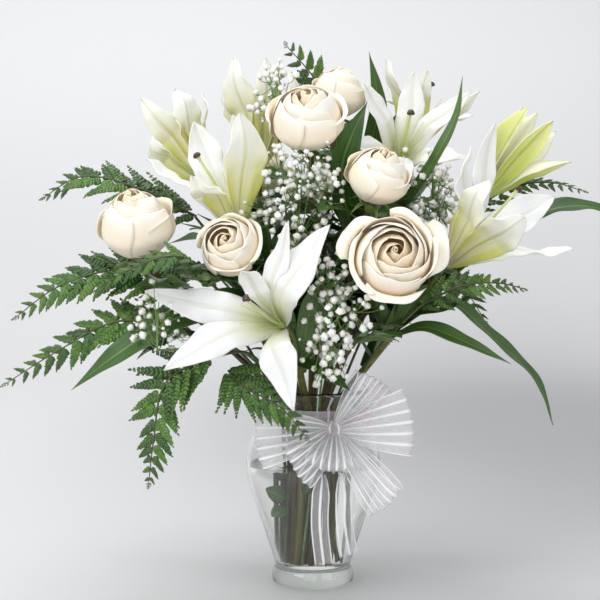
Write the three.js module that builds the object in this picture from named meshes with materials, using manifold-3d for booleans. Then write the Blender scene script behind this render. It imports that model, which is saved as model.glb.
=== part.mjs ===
// A florist's arrangement: white lilies, cream roses, baby's breath and leatherleaf fern
// standing in water in a clear glass vase, with a sheer ribbon bow at the vase's neck.
// Millimetres, +Z up, -Y is the front, +X the right. The origin is the centre of the foot.
import * as THREE from "three";
import { mergeVertices } from "three/addons/utils/BufferGeometryUtils.js";
import Module from "manifold-3d";

const wasm = await Module();
wasm.setup();

// ---- Driving dimensions ----

const ROUND_STEPS = 18; // facets round the vase and the water in it
const VASE_OUTSIDE = [
  [39, 0], [41, 3], [41, 11], [37.5, 18], [44, 38], [55, 72], [65.5, 102],
  [67.5, 125], [60, 150], [46, 166], [43, 174], [56, 196],
]; // radius and height, from the foot up to the lip
const VASE_INSIDE = [
  [53.2, 196.4], [39.4, 175], [42.4, 164], [56.4, 148], [63.9, 125],
  [61.9, 102.6], [51.4, 73], [40.2, 40], [33, 19],
]; // from the lip down to the floor
const VASE_FLOOR = 16; // top of the thick glass bottom, on the axis
const WATER_LEVEL = 121;
const CLEAR = 0.4; // gap kept between pieces that touch

const SHEAF = { low: 23, neck: 178, lowSpread: 27, neckSpread: 31.5, twist: 32 };

const BLADE = 0.8; // thickness of leaves, fern and ribbon
const PETAL = 1.1; // thickness of petals

const STEM = { rose: 2.9, lily: 3.6, pedicel: 2.3, fern: 1.4, gypsophila: 1.1 }; // radii

// A head's centre is the middle of the bloom and it looks along facing. slot is the stem's
// place in the sheaf: its direction in degrees and its distance from the middle, 0 to 1.
const ROSES = [
  {
    name: "left", centre: [-167, -73, 355], facing: [-0.15, -0.42, 0.89],
    radius: 37, open: 0, slot: [203, 0.7],
  },
  {
    name: "inner_left", centre: [-78, -97, 341], facing: [-0.22, -0.85, 0.48],
    radius: 31, open: 0.7, slot: [234, 0.66],
  },
  {
    name: "front", centre: [71, -135, 334], facing: [0.05, -0.93, 0.36],
    radius: 42, open: 1, slot: [297, 0.72],
  },
  {
    name: "inner_right", centre: [59, -80, 403], facing: [0.2, -0.5, 0.84],
    radius: 31, open: 0.15, slot: [315, 0.38],
  },
  {
    name: "top_front", centre: [-6, -50, 458], facing: [-0.1, -0.6, 0.79],
    radius: 37, open: 0.3, slot: [258, 0.36],
  },
  {
    name: "top_rear", centre: [25, 27, 486], facing: [0.08, -0.2, 0.97],
    radius: 29, open: 0.1, slot: [75, 0.06],
  },
  {
    name: "back", centre: [-52, 118, 398], facing: [-0.25, 0.78, 0.57],
    radius: 36, open: 0.7, slot: [113, 0.68],
  },
];

// A lily's tepals are [direction, opening, reach, width]: the direction goes round the axis
// in degrees, from the right and upwards as seen from the front; the tip lies at reach from
// the base, at opening degrees off the axis. style is the length of its pistil, and lean how
// far that leans to the right and up, in parts of the length.
const LILIES = [
  {
    name: "front", base: [-27, -92, 266], axis: [-0.38, -0.87, 0.28], style: 88,
    tepals: [
      [52, 70, 106, 38], [72, 58, 104, 23], [100, 26, 92, 24],
      [165, 62, 130, 32], [206, 58, 120, 33], [286, 69, 94, 35],
    ],
  },
  {
    name: "left_front", base: [-72, -58, 350], axis: [-0.2, -0.15, 0.97], style: 86,
    lean: [-0.25, -0.09],
    tepals: [
      [5, 27, 92, 28], [62, 20, 118, 30], [118, 26, 122, 36],
      [178, 40, 112, 36], [238, 38, 82, 34], [306, 25, 130, 46],
    ],
  },
  {
    name: "left_rear", base: [-101, -2, 398], axis: [-0.58, 0.22, 0.78], style: 80,
    tepals: [
      [10, 33, 99, 27], [68, 36, 96, 32], [128, 38, 84, 27],
      [205, 18, 80, 30], [260, 31, 110, 28], [305, 26, 102, 34],
    ],
  },
  {
    name: "left_top", base: [-54, 50, 412], axis: [-0.02, 0.16, 0.98], style: 82,
    tepals: [
      [60, 28, 106, 32], [122, 26, 109, 28], [190, 25, 100, 32],
      [241, 25, 120, 34], [282, 24, 118, 26], [332, 24, 108, 28],
    ],
  },
  {
    name: "right_top", base: [86, 38, 412], axis: [0.12, -0.74, 0.66], style: 80,
    tepals: [
      [36, 46, 106, 23], [84, 38, 102, 27], [138, 40, 100, 23],
      [205, 48, 94, 26], [265, 54, 84, 22], [325, 46, 94, 26],
    ],
  },
  {
    name: "right_rear", base: [100, 68, 430], axis: [0.3, 0.24, 0.92], style: 84,
    tepals: [
      [40, 44, 98, 22], [96, 46, 104, 26], [151, 45, 95, 21],
      [204, 36, 100, 26], [262, 40, 90, 22], [322, 43, 94, 25],
    ],
  },
  {
    name: "right", base: [128, -42, 320], axis: [0.64, -0.34, 0.69], style: 104,
    tepals: [
      [48, 42, 134, 38], [104, 46, 158, 28], [146, 37, 116, 34],
      [204, 24, 108, 38], [268, 29, 116, 40], [338, 38, 122, 34],
    ],
  },
  {
    name: "right_bud", base: [166, 26, 382], axis: [0.6, 0.02, 0.8], bud: true,
    tepals: [
      [40, 15, 112, 22], [100, 11, 114, 24], [160, 12, 108, 22],
      [220, 12, 108, 24], [285, 18, 112, 22], [342, 31, 102, 24],
    ],
  },
];

// A lily stalk climbs from its slot through path; its blooms' pedicels leave its end.
// A leaf's midrib runs through points from the stalk to the tip, its face towards up.
const STALKS = [
  {
    name: "front", slot: [256, 0.68], path: [[-16, -52, 232]], blooms: ["front"],
    leaves: [
      {
        points: [[-14, -50, 228], [10, -84, 222], [34, -104, 208]],
        width: 20, up: [0, -0.5, 1],
      },
    ],
  },
  {
    name: "left", slot: [180, 0.36], path: [[-44, 4, 280], [-62, 4, 336]],
    blooms: ["left_front", "left_rear", "left_top"],
    leaves: [
      {
        points: [[-46, 4, 290], [-42, -26, 324], [-44, -48, 352], [-50, -58, 384]],
        width: 17, up: [-1, -1, 0],
      },
      {
        points: [[-40, 4, 268], [-76, -44, 286], [-130, -84, 274], [-186, -82, 240], [-232, -72, 204]],
        width: 32, up: [0, -1, 0.7],
      },
      {
        points: [[-48, 6, 296], [-84, 46, 330], [-116, 80, 344], [-152, 104, 338]],
        width: 24, up: [0, 0.4, 1],
      },
    ],
  },
  {
    name: "right_rear", slot: [28, 0.4], path: [[58, 32, 300], [76, 46, 366]],
    blooms: ["right_top", "right_rear"],
    leaves: [
      {
        points: [[60, 32, 308], [34, -6, 372], [28, -34, 418], [38, -44, 450], [52, -42, 480]],
        width: 27, up: [0.3, -1, 0.2],
      },
      {
        points: [[76, 46, 364], [60, 50, 430], [66, 34, 480], [56, 14, 532]],
        width: 20, up: [0.2, -1, 0],
      },
      {
        points: [[74, 44, 360], [102, -10, 398], [120, -40, 430], [138, -42, 468], [144, -34, 504]],
        width: 11, up: [-0.6, -0.8, 0],
      },
      {
        points: [[72, 44, 352], [110, 92, 380], [134, 130, 376], [150, 160, 352]],
        width: 24, up: [0, 0.5, 1],
      },
    ],
  },
  {
    name: "right", slot: [345, 0.68], path: [[74, -14, 246], [104, -18, 286]],
    blooms: ["right", "right_bud"],
    leaves: [
      {
        points: [[98, -18, 276], [156, 12, 330], [216, 34, 366], [276, 42, 378], [326, 40, 366]],
        width: 30, up: [-0.2, -0.6, 1],
      },
      {
        points: [[84, -16, 258], [130, -42, 286], [176, -40, 250], [222, -26, 204], [238, -22, 162]],
        width: 21, up: [0.5, -0.5, 0.8],
      },
      {
        points: [[76, -14, 248], [108, -50, 262], [148, -62, 248], [190, -58, 228]],
        width: 18, up: [0.1, -0.7, 0.8],
      },
      {
        points: [[92, -18, 270], [130, -62, 282], [168, -84, 306]],
        width: 12, up: [0, -0.6, 1],
      },
    ],
  },
];

// A frond's bare stalk climbs through path, then its rib carries pairs of leaflets, reach long
// at the foot and shorter towards the tip, with the frond's face towards up.
const FRONDS = [
  {
    name: "top", slot: [96, 0.4], path: [[6, 60, 330]], reach: 47, pairs: 9,
    rib: [[20, 90, 436], [8, 86, 500], [-30, 58, 546]], up: [0.1, -1, 0.2],
  },
  {
    name: "left_high", slot: [168, 0.7], path: [[-84, 26, 320]], reach: 53, pairs: 13,
    rib: [[-118, 26, 368], [-178, 6, 398], [-232, 12, 408], [-276, 18, 384]], up: [0, -0.7, 1],
  },
  {
    name: "left_mid", slot: [186, 1], path: [[-78, -4, 256]], reach: 54, pairs: 13,
    rib: [[-120, -6, 294], [-186, -33, 317], [-246, -44, 302], [-294, -42, 268]], up: [0, -0.8, 0.8],
  },
  {
    name: "left_low", slot: [204, 1], path: [[-76, -36, 240]], reach: 48, pairs: 13,
    rib: [[-126, -56, 262], [-190, -50, 268], [-250, -50, 238], [-304, -54, 204]], up: [0, -0.8, 0.8],
  },
  {
    name: "down_left", slot: [222, 1], path: [[-62, -62, 238]], reach: 50, pairs: 13,
    rib: [[-98, -90, 238], [-138, -108, 216], [-150, -108, 160], [-157, -92, 112]], up: [-0.5, -1, 0.2],
  },
  {
    name: "down_front", slot: [240, 1], path: [[-50, -64, 226]], reach: 42, pairs: 12,
    rib: [[-80, -98, 226], [-66, -120, 214], [-32, -124, 196], [-4, -116, 162]], up: [0, -1, 0.5],
  },
  {
    name: "front_left", slot: [217, 0.62], path: [[-62, -62, 270]], reach: 33, pairs: 12,
    rib: [[-95, -88, 306], [-126, -130, 335], [-166, -136, 324], [-206, -122, 300]], up: [0, -0.6, 1],
  },
  {
    name: "right_high", slot: [8, 0.98], path: [[104, 22, 300]], reach: 28, pairs: 11,
    rib: [[160, 48, 372], [206, 44, 398], [242, 28, 402], [276, 10, 392]], up: [0, -0.6, 1],
  },
  {
    name: "right_low", slot: [328, 1], path: [[66, -50, 246]], reach: 28, pairs: 11,
    rib: [[98, -82, 284], [138, -100, 306], [172, -92, 308], [204, -70, 300]], up: [0, -0.8, 0.8],
  },
  {
    name: "back_left", slot: [140, 1], path: [[-60, 60, 260]], reach: 44, pairs: 9,
    rib: [[-96, 98, 300], [-136, 136, 310], [-170, 158, 290], [-196, 168, 254]], up: [-0.3, 0.8, 0.8],
  },
  {
    name: "back_mid", slot: [88, 1], path: [[4, 72, 262]], reach: 44, pairs: 9,
    rib: [[10, 112, 308], [12, 150, 306], [12, 176, 276], [10, 186, 234]], up: [0, 1, 0.6],
  },
  {
    name: "back_right", slot: [45, 1], path: [[62, 62, 260]], reach: 44, pairs: 9,
    rib: [[100, 104, 300], [140, 138, 304], [172, 160, 280], [196, 170, 244]], up: [0.3, 0.8, 0.8],
  },
];

// A spray of baby's breath: its twigs, two florets on each, fill an egg round centre; size
// holds the egg's half axes.
const SPRAYS = [
  {
    name: "centre", slot: [284, 0.34], path: [[8, -50, 302]],
    centre: [-16, -70, 388], size: [44, 26, 56], twigs: 13,
  },
  {
    name: "right", slot: [352, 0.36], path: [[70, 2, 300]],
    centre: [118, -12, 392], size: [30, 26, 46], twigs: 9,
  },
  {
    name: "front", slot: [280, 1], path: [[10, -60, 230]],
    centre: [16, -112, 276], size: [26, 20, 48], twigs: 10,
  },
  {
    name: "left", slot: [213, 0.87], path: [[-70, -60, 240]],
    centre: [-146, -104, 270], size: [28, 16, 26], twigs: 6,
  },
  {
    name: "top", slot: [140, 0.3], path: [[-30, 20, 400]],
    centre: [-36, -6, 488], size: [18, 22, 26], twigs: 3,
  },
  {
    name: "back", slot: [66, 0.72], path: [[30, 56, 300]],
    centre: [34, 92, 398], size: [44, 28, 44], twigs: 5,
  },
];
const FLORET = 6; // a floret's radius, larger than life

const KNOT = { centre: [20, -58, 163], size: [9, 8, 10] };
// A loop of ribbon leaves the knot along out, its width lying along across.
const LOOPS = [
  { out: [-0.93, -0.3, -0.05], across: [-0.2, 0.1, 1], length: 80, wide: 60, deep: 24 },
  { out: [-0.62, -0.64, -0.5], across: [-0.5, 0, 0.8], length: 64, wide: 50, deep: 20 },
  { out: [-0.12, -0.82, -0.58], across: [1, 0, 0], length: 52, wide: 46, deep: 16 },
  { out: [0.97, -0.2, 0.14], across: [-0.1, 0.1, 1], length: 78, wide: 66, deep: 26 },
  { out: [0.62, -0.16, 0.77], across: [-0.7, -0.3, 0.6], length: 68, wide: 46, deep: 20 },
  { out: [0.56, -0.36, -0.75], across: [0.4, -0.2, 0.85], length: 92, wide: 46, deep: 20 },
];
const TAILS = [
  {
    name: "centre", wide: 17, up: [0, -1, 0],
    points: [[8, -70, 122], [8, -73, 116], [7, -75, 104], [6, -74, 74], [10, -70, 34]],
  },
  {
    name: "right", wide: 18, up: [0.3, -1, 0],
    points: [[27, -67, 122], [28, -69, 116], [30, -71, 104], [30, -70, 76], [35, -64, 42]],
  },
];
const BAND = { low: 166.5, high: 180, radius: 47.6, thick: 1 };

// ---- Colours ----

const LOOKS = {
  glass: { color: 0xe6ecec, roughness: 0.05, metalness: 0 },
  water: { color: 0xdfe8e6, roughness: 0.02, metalness: 0 },
  ribbon: { color: 0xe9e9ec, roughness: 0.45, metalness: 0 },
  rose: { color: 0xf3e6d0, roughness: 0.6, metalness: 0 },
  lily: { color: 0xf4f4ee, roughness: 0.5, metalness: 0 },
  bud: { color: 0xdbe07c, roughness: 0.5, metalness: 0 },
  pistil: { color: 0xc3cf7a, roughness: 0.5, metalness: 0 },
  leaf: { color: 0x3f7a35, roughness: 0.5, metalness: 0 },
  stem: { color: 0x55752f, roughness: 0.6, metalness: 0 },
  fern: { color: 0x2f6a2c, roughness: 0.55, metalness: 0 },
  floret: { color: 0xf0efe0, roughness: 0.7, metalness: 0 },
};

// ---- Solids ----

const bouquet = new THREE.Group();
const placed = [];

const vec = (point) => new THREE.Vector3(...point);
const along = (origin, ...steps) => {
  const point = origin.clone();
  for (const [direction, distance] of steps) point.addScaledVector(direction, distance);
  return point;
};

/** A repeatable stream of numbers from 0 to 1. */
function randomStream(seed) {
  let state = seed;
  return () => {
    state = (Math.imul(state, 1664525) + 1013904223) >>> 0;
    return state / 2 ** 32;
  };
}

function toSolid(geometry) {
  const bare = geometry.clone();
  bare.deleteAttribute("normal");
  bare.deleteAttribute("uv");
  const merged = mergeVertices(bare);
  return new wasm.Manifold(new wasm.Mesh({
    numProp: 3,
    vertProperties: new Float32Array(merged.attributes.position.array),
    triVerts: new Uint32Array(merged.index.array),
  }));
}

function toGeometry(solid) {
  const mesh = solid.getMesh();
  const geometry = new THREE.BufferGeometry();
  geometry.setAttribute("position", new THREE.BufferAttribute(mesh.vertProperties, 3));
  geometry.setIndex(new THREE.BufferAttribute(mesh.triVerts, 1));
  geometry.computeVertexNormals();
  return geometry;
}

function join(solids) {
  return solids.reduce((whole, solid) => whole.add(solid));
}

function place(name, solid, look) {
  const mesh = new THREE.Mesh(toGeometry(solid), new THREE.MeshStandardMaterial(LOOKS[look]));
  mesh.name = name;
  bouquet.add(mesh);
  placed.push({ solid, box: new THREE.Box3().setFromObject(mesh) });
}

/** True where the solid meets nothing that already stands in the vase. */
function isFree(solid) {
  const box = toGeometry(solid);
  box.computeBoundingBox();
  return placed.every((other) =>
    !other.box.intersectsBox(box.boundingBox) || other.solid.intersect(solid).isEmpty());
}

/** A turned solid: its outline runs from the axis at the bottom round to the axis again. */
function turned(outline) {
  const points = outline.map(([radius, height]) => new THREE.Vector2(radius, height));
  const geometry = new THREE.LatheGeometry(points, ROUND_STEPS);
  geometry.rotateX(Math.PI / 2);
  return toSolid(geometry);
}

/** A path through given stations, straight between them. */
class StationPath extends THREE.Curve {
  constructor(stations) {
    super();
    this.stations = stations;
  }

  getPoint(t, target = new THREE.Vector3()) {
    const last = this.stations.length - 1;
    const index = Math.min(Math.floor(t * last), last - 1);
    return target.lerpVectors(this.stations[index], this.stations[index + 1], t * last - index);
  }

  getPointAt(u, target) {
    return this.getPoint(u, target);
  }

  getTangentAt(u, target = new THREE.Vector3()) {
    const last = this.stations.length - 1;
    const index = Math.round(u * last);
    const before = this.stations[Math.max(index - 1, 0)];
    const after = this.stations[Math.min(index + 1, last)];
    return target.subVectors(after, before).normalize();
  }
}

/** A round stem of one radius through the stations. */
function stem(stations, radius, sides = 5) {
  const circle = new THREE.EllipseCurve(0, 0, radius, radius);
  const section = new THREE.Shape(circle.getPoints(sides).slice(0, sides));
  return toSolid(new THREE.ExtrudeGeometry(section, {
    steps: stations.length - 1,
    extrudePath: new StationPath(stations),
    bevelEnabled: false,
  }));
}

/** A closed body from a point through rings of equally many points to another point. */
function ringed(first, rings, last) {
  const count = rings[0].length;
  const position = [first, ...rings.flat(), last].flatMap((point) => point.toArray());
  const index = [];
  const end = 1 + rings.length * count;
  for (let k = 0; k < count; k += 1) {
    const next = (k + 1) % count;
    index.push(0, 1 + next, 1 + k);
    for (let level = 1; level < rings.length; level += 1) {
      const [below, here] = [1 + (level - 1) * count, 1 + level * count];
      index.push(below + k, below + next, here + k, below + next, here + next, here + k);
    }
    index.push(end - count + k, end - count + next, end);
  }
  const geometry = new THREE.BufferGeometry();
  geometry.setAttribute("position", new THREE.Float32BufferAttribute(position, 3));
  geometry.setIndex(index);
  return toSolid(geometry);
}

/** The turn that brings +Y into a direction. */
function turnFromY(direction) {
  return new THREE.Quaternion().setFromUnitVectors(new THREE.Vector3(0, 1, 0), direction.normalize());
}

/** A slim turned solid that stands at one point and leans towards another. */
function turnedAlong(outline, from, to, sides) {
  const points = outline.map(([radius, height]) => new THREE.Vector2(radius, height));
  const geometry = new THREE.LatheGeometry(points, sides);
  geometry.applyQuaternion(turnFromY(to.clone().sub(from)));
  geometry.translate(...from.toArray());
  return toSolid(geometry);
}

/** A straight taper from one point to another. */
function taper(from, to, startRadius, endRadius, sides = 3) {
  const length = from.distanceTo(to);
  const geometry = new THREE.CylinderGeometry(endRadius, startRadius, length, sides);
  geometry.applyQuaternion(turnFromY(to.clone().sub(from)));
  geometry.translate(...from.clone().lerp(to, 0.5).toArray());
  return toSolid(geometry);
}

/** An open sheet of triangles that thickens into a closed body. */
class Sheet {
  points = [];
  triangles = [];

  point(position) {
    this.points.push(position);
    return this.points.length - 1;
  }

  triangle(a, b, c) {
    this.triangles.push([a, b, c]);
  }

  /** Fills between two rows of equally many points. */
  strip(lower, upper) {
    for (let k = 0; k + 1 < lower.length; k += 1) {
      this.triangle(lower[k], lower[k + 1], upper[k]);
      this.triangle(lower[k + 1], upper[k + 1], upper[k]);
    }
  }

  /** Closes a row of points into one tip. */
  fan(row, tip) {
    for (let k = 0; k + 1 < row.length; k += 1) this.triangle(row[k], row[k + 1], tip);
  }

  normals() {
    const sums = this.points.map(() => new THREE.Vector3());
    for (const corners of this.triangles) {
      const [a, b, c] = corners.map((index) => this.points[index]);
      const face = b.clone().sub(a).cross(c.clone().sub(a));
      for (const index of corners) sums[index].add(face);
    }
    return sums.map((sum) => sum.normalize());
  }

  thicken(thickness) {
    const count = this.points.length;
    const normals = this.normals();
    const position = [];
    for (const side of [0.5, -0.5]) {
      this.points.forEach((point, k) => {
        position.push(...along(point, [normals[k], side * thickness]).toArray());
      });
    }
    const index = [];
    const edges = new Set(this.triangles.flatMap(([a, b, c]) =>
      [`${a},${b}`, `${b},${c}`, `${c},${a}`]));
    for (const [a, b, c] of this.triangles) {
      index.push(a, b, c, a + count, c + count, b + count);
      for (const [from, to] of [[a, b], [b, c], [c, a]]) {
        if (!edges.has(`${to},${from}`)) {
          index.push(to, from, from + count, to, from + count, to + count);
        }
      }
    }
    const geometry = new THREE.BufferGeometry();
    geometry.setAttribute("position", new THREE.Float32BufferAttribute(position, 3));
    geometry.setIndex(index);
    return toSolid(geometry);
  }
}

/** Axis, right and up of something that looks along a direction, as seen from the front. */
function frameOf(direction) {
  const axis = vec(direction).normalize();
  const right = along(new THREE.Vector3(1, 0, 0), [axis, -axis.x]).normalize();
  return { axis, right, up: axis.clone().cross(right) };
}

// ---- Stems ----

/** Where a stem of the sheaf is at a height: all turn round the middle together. */
function sheafPoint([angle, distance], height) {
  const part = (height - SHEAF.low) / (SHEAF.neck - SHEAF.low);
  const end = (degrees, spread) => {
    const turn = THREE.MathUtils.degToRad(degrees);
    return new THREE.Vector3(Math.cos(turn), Math.sin(turn), 0).multiplyScalar(distance * spread);
  };
  const point = end(angle - SHEAF.twist, SHEAF.lowSpread).lerp(end(angle, SHEAF.neckSpread), part);
  return point.setZ(height);
}

/** Stations from the cut end, straight to the neck, then curved through path to the end. */
function climb(slot, path, steps = 5) {
  const curve = new THREE.CatmullRomCurve3([sheafPoint(slot, SHEAF.neck), ...path]);
  return [sheafPoint(slot, SHEAF.low), ...curve.getPoints(steps)];
}

const channels = [];

function channel(slot, radius, sides = 5) {
  const low = sheafPoint(slot, SHEAF.low - 1);
  const high = sheafPoint(slot, WATER_LEVEL + 2);
  channels.push(stem([low, high], radius + 2 * CLEAR, sides));
}

// ---- Leaves ----

const LEAF_NECK = 0.3; // width at the stalk, as a part of the full width
const LEAF_KEEL = 0.3; // how far the edges rise from the midrib, in half widths

/** A leaf's width along it, as a part of its full width: widest a little below the middle. */
const leafShape = (t) => LEAF_NECK + (1 - LEAF_NECK) * Math.sin(Math.PI * (0.12 + 0.88 * t)) ** 0.7;

/** A pointed blade with a keel, along its midrib. */
function leaf({ points, width, up }, sections = 4, thickness = BLADE) {
  const curve = new THREE.CatmullRomCurve3(points.map(vec));
  const face = vec(up).normalize();
  const sheet = new Sheet();
  let row = null;
  for (let k = 0; k < sections; k += 1) {
    const t = k / sections;
    const middle = curve.getPoint(t);
    const side = curve.getTangent(t).cross(face).normalize();
    const half = (width / 2) * leafShape(t);
    const next = [-1, 0, 1].map((sign) =>
      sheet.point(along(middle, [side, sign * half], [face, Math.abs(sign) * half * LEAF_KEEL])));
    if (row) sheet.strip(row, next);
    row = next;
  }
  sheet.fan(row, sheet.point(curve.getPoint(1)));
  return sheet.thicken(thickness);
}

const FILLER = { count: 3, length: 88, width: 19, from: 212, turn: 137.5 }; // leaves up a stalk
const FILLER_ARCH = [[0, 0], [0.3, 0.3], [0.68, 0.46], [1, 0.4]]; // out and up, in lengths
const FILLER_SIZES = [1, 0.75, 0.55]; // tried in turn, where there is less room

/** Short leaves round a stalk, each turned on from the last, where there is room for them. */
function fillerLeaves(stations, start) {
  const top = stations.at(-1).z;
  const upper = new THREE.CatmullRomCurve3(stations.slice(1));
  const leaves = [];
  for (let k = 0; k < FILLER.count; k += 1) {
    const t = (k + 0.5) / FILLER.count;
    const root = upper.getPoint(t);
    if (root.z < FILLER.from) continue;
    const turn = THREE.MathUtils.degToRad(start + k * FILLER.turn);
    const out = new THREE.Vector3(Math.cos(turn), Math.sin(turn), 0);
    const rise = new THREE.Vector3(0, 0, 1);
    for (const scale of FILLER_SIZES) {
      const reach = FILLER.length * scale;
      const points = FILLER_ARCH.map(([far, high]) =>
        along(root, [out, far * reach], [rise, high * reach]).toArray());
      const up = [-0.3 * out.x, -0.3 * out.y, 1];
      const blade = { points, width: FILLER.width * scale, up };
      const room = leaf({ ...blade, width: blade.width + 2 * CLEAR }, 2, BLADE + 2 * CLEAR);
      if (isFree(room)) {
        leaves.push(leaf(blade, 2));
        break;
      }
    }
  }
  return leaves;
}

// ---- Lilies ----

// The six tepals are fused at the base into a funnel, given as [height, radius] of its rings,
// and leave it at an angle off the axis.
const OPEN_FUNNEL = { rings: [[3, 4], [34, 13.5]], angle: 24 };
const BUD_FUNNEL = { rings: [[3, 4], [38, 11.5]], angle: 4 };
const TEPAL_ROWS = [[0.28, 0.9], [0.56, 1], [0.82, 0.66]]; // place along a tepal, part of its width
const WHORL_GAP = 2.4; // three tepals lie this far inside the other three
const TEPAL_CUP = 0.14; // how far the edges rise, in widths

/** Three points across a tepal, where its edges rise towards the lily's inside. */
function tepalRow(sheet, middle, sideways, inward, width) {
  return [-1, 0, 1].map((sign) => {
    const rise = Math.abs(sign) * width * TEPAL_CUP;
    return sheet.point(along(middle, [sideways, (sign * width) / 2], [inward, rise]));
  });
}

function lilyBloom({ base, axis: direction, tepals, bud }) {
  const { axis, right, up } = frameOf(direction);
  const funnel = bud ? BUD_FUNNEL : OPEN_FUNNEL;
  const origin = vec(base);
  const turns = tepals.map(([degrees]) => THREE.MathUtils.degToRad(degrees));
  const between = turns.map((turn, k) => (turn + (turns[k + 1] ?? turns[0] + 2 * Math.PI)) / 2);
  const columns = turns.flatMap((turn, k) => [turn, between[k]]);
  const outwards = (turn) => along(new THREE.Vector3(), [right, Math.cos(turn)], [up, Math.sin(turn)]);
  const sheet = new Sheet();
  const bottom = sheet.point(origin.clone());
  const [low, high] = funnel.rings.map(([height, radius]) =>
    columns.map((turn) => sheet.point(along(origin, [axis, height], [outwards(turn), radius]))));
  sheet.fan([...low, low[0]].reverse(), bottom);
  sheet.strip([...low, low[0]], [...high, high[0]]);
  const leave = THREE.MathUtils.degToRad(funnel.angle);
  tepals.forEach(([, opening, reach, width], k) => {
    const out = outwards(turns[k]);
    const sideways = axis.clone().cross(out);
    const open = THREE.MathUtils.degToRad(opening);
    const tip = along(origin, [axis, reach * Math.cos(open)], [out, reach * Math.sin(open)]);
    const start = sheet.points[high[2 * k]];
    const half = 0.5 * start.distanceTo(tip);
    const elbow = along(start, [axis, half * Math.cos(leave)], [out, half * Math.sin(leave)]);
    const curve = new THREE.QuadraticBezierCurve3(start, elbow, tip);
    let row = [high.at(2 * k - 1), high[2 * k], high[2 * k + 1]];
    for (const [t, part] of TEPAL_ROWS) {
      const inward = curve.getTangent(t).cross(sideways).negate();
      const middle = along(curve.getPoint(t), [inward, (k % 2 ? 0.5 : -0.5) * WHORL_GAP]);
      const next = tepalRow(sheet, middle, sideways, inward, width * part);
      sheet.strip(row, next);
      row = next;
    }
    sheet.fan(row, sheet.point(tip));
  });
  return sheet.thicken(PETAL);
}

const OVARY = { clear: 4.4, length: 9, low: 2.2, high: 4.6 }; // clear is its gap to the base
const STYLE = { low: 1.6, high: 1.3, stigma: 3.6, lean: [0, 0.1] }; // radii, and its usual lean
const FILAMENT = { length: 60, opening: 15, radius: 0.9, ring: 2.1, sunk: 5 };

/** The ovary, the style with its stigma, and the six filaments round it. */
function lilyPistil({ base, axis: direction, style, lean = STYLE.lean }) {
  const { axis, right, up } = frameOf(direction);
  const root = along(vec(base), [axis, OVARY.clear]);
  const tip = along(vec(base), [axis, style], [right, lean[0] * style], [up, lean[1] * style]);
  const length = root.distanceTo(tip);
  const outline = [
    [0, 0], [STYLE.low, 0], [STYLE.high, length - STYLE.stigma], [STYLE.stigma, length],
    [0, length + STYLE.stigma / 2],
  ];
  const parts = [
    taper(root, along(root, [axis, OVARY.length]), OVARY.low, OVARY.high, 6),
    turnedAlong(outline, root, tip, 3),
  ];
  const open = THREE.MathUtils.degToRad(FILAMENT.opening);
  for (let k = 0; k < 6; k += 1) {
    const turn = (k + 0.5) * (Math.PI / 3);
    const out = along(new THREE.Vector3(), [right, Math.cos(turn)], [up, Math.sin(turn)]);
    const run = along(new THREE.Vector3(), [axis, Math.cos(open)], [out, Math.sin(open)]);
    const heel = along(root, [axis, FILAMENT.sunk], [out, FILAMENT.ring]);
    parts.push(taper(heel, along(heel, [run, FILAMENT.length]), FILAMENT.radius, 0));
  }
  return join(parts);
}

// ---- Roses ----

// A rose's rings of points, from the hip up its outer petals and over each whorl's rim to
// the heart: [radius, height] closed and open as parts of the bloom's radius. A rim ring has
// petals, each rising to one side of the next, with its lobes turned on by shift columns.
const ROSE_COLUMNS = 15;
const ROSE_RINGS = [
  { closed: [0.3, 0.05], open: [0.3, 0.08] },
  { closed: [0.8, 0.4], open: [0.72, 0.34] },
  { closed: [0.98, 0.94], open: [0.9, 0.74], petals: 5, shift: 0, lobe: 0.4 },
  { closed: [0.84, 1.42], open: [1.04, 1.06], petals: 5, shift: 0, lobe: 1 },
  { closed: [0.66, 1.34], open: [0.8, 0.86], petals: 5, shift: 0, lobe: 0.4 },
  { closed: [0.6, 1.64], open: [0.68, 1.2], petals: 5, shift: 1, lobe: 1 },
  { closed: [0.43, 1.52], open: [0.52, 0.96], petals: 5, shift: 1, lobe: 0.4 },
  { closed: [0.36, 1.76], open: [0.42, 1.28], petals: 3, shift: 2, lobe: 1.3 },
  { closed: [0.23, 1.62], open: [0.26, 1.08], petals: 3, shift: 2, lobe: 0.6 },
  { closed: [0.15, 1.8], open: [0.16, 1.32], petals: 3, shift: 4, lobe: 1.4 },
];
const ROSE_DEPTH = 0.62; // how far the hip lies behind the bloom's centre
const ROSE_LOBE = { swing: 0.085, dip: 0.11 }; // of a petal's two edges: in and out, and down
const ROSE_HEART = 1.2; // height of the heart's floor

function roseBloom({ centre, facing, radius, open }) {
  const { axis, right, up } = frameOf(facing);
  const foot = along(vec(centre), [axis, -ROSE_DEPTH * radius]);
  const at = (turn, out, height) => along(foot, [axis, height * radius],
    [right, out * radius * Math.cos(turn)], [up, out * radius * Math.sin(turn)]);
  const mix = (ring, part) => THREE.MathUtils.lerp(ring.closed[part], ring.open[part], open);
  const rings = ROSE_RINGS.map((ring) => {
    const { petals = 1, shift = 0, lobe = 0 } = ring;
    const columns = ROSE_COLUMNS / petals;
    return Array.from({ length: ROSE_COLUMNS }, (_, k) => {
      const across = (2 * ((k + shift) % columns)) / (columns - 1) - 1;
      const out = mix(ring, 0) * (1 + lobe * ROSE_LOBE.swing * across);
      const height = mix(ring, 1) - lobe * ROSE_LOBE.dip * Math.abs(across);
      return at((k * 2 * Math.PI) / ROSE_COLUMNS, out, height);
    });
  });
  return ringed(at(0, 0, 0), rings, at(0, 0, ROSE_HEART));
}

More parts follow.
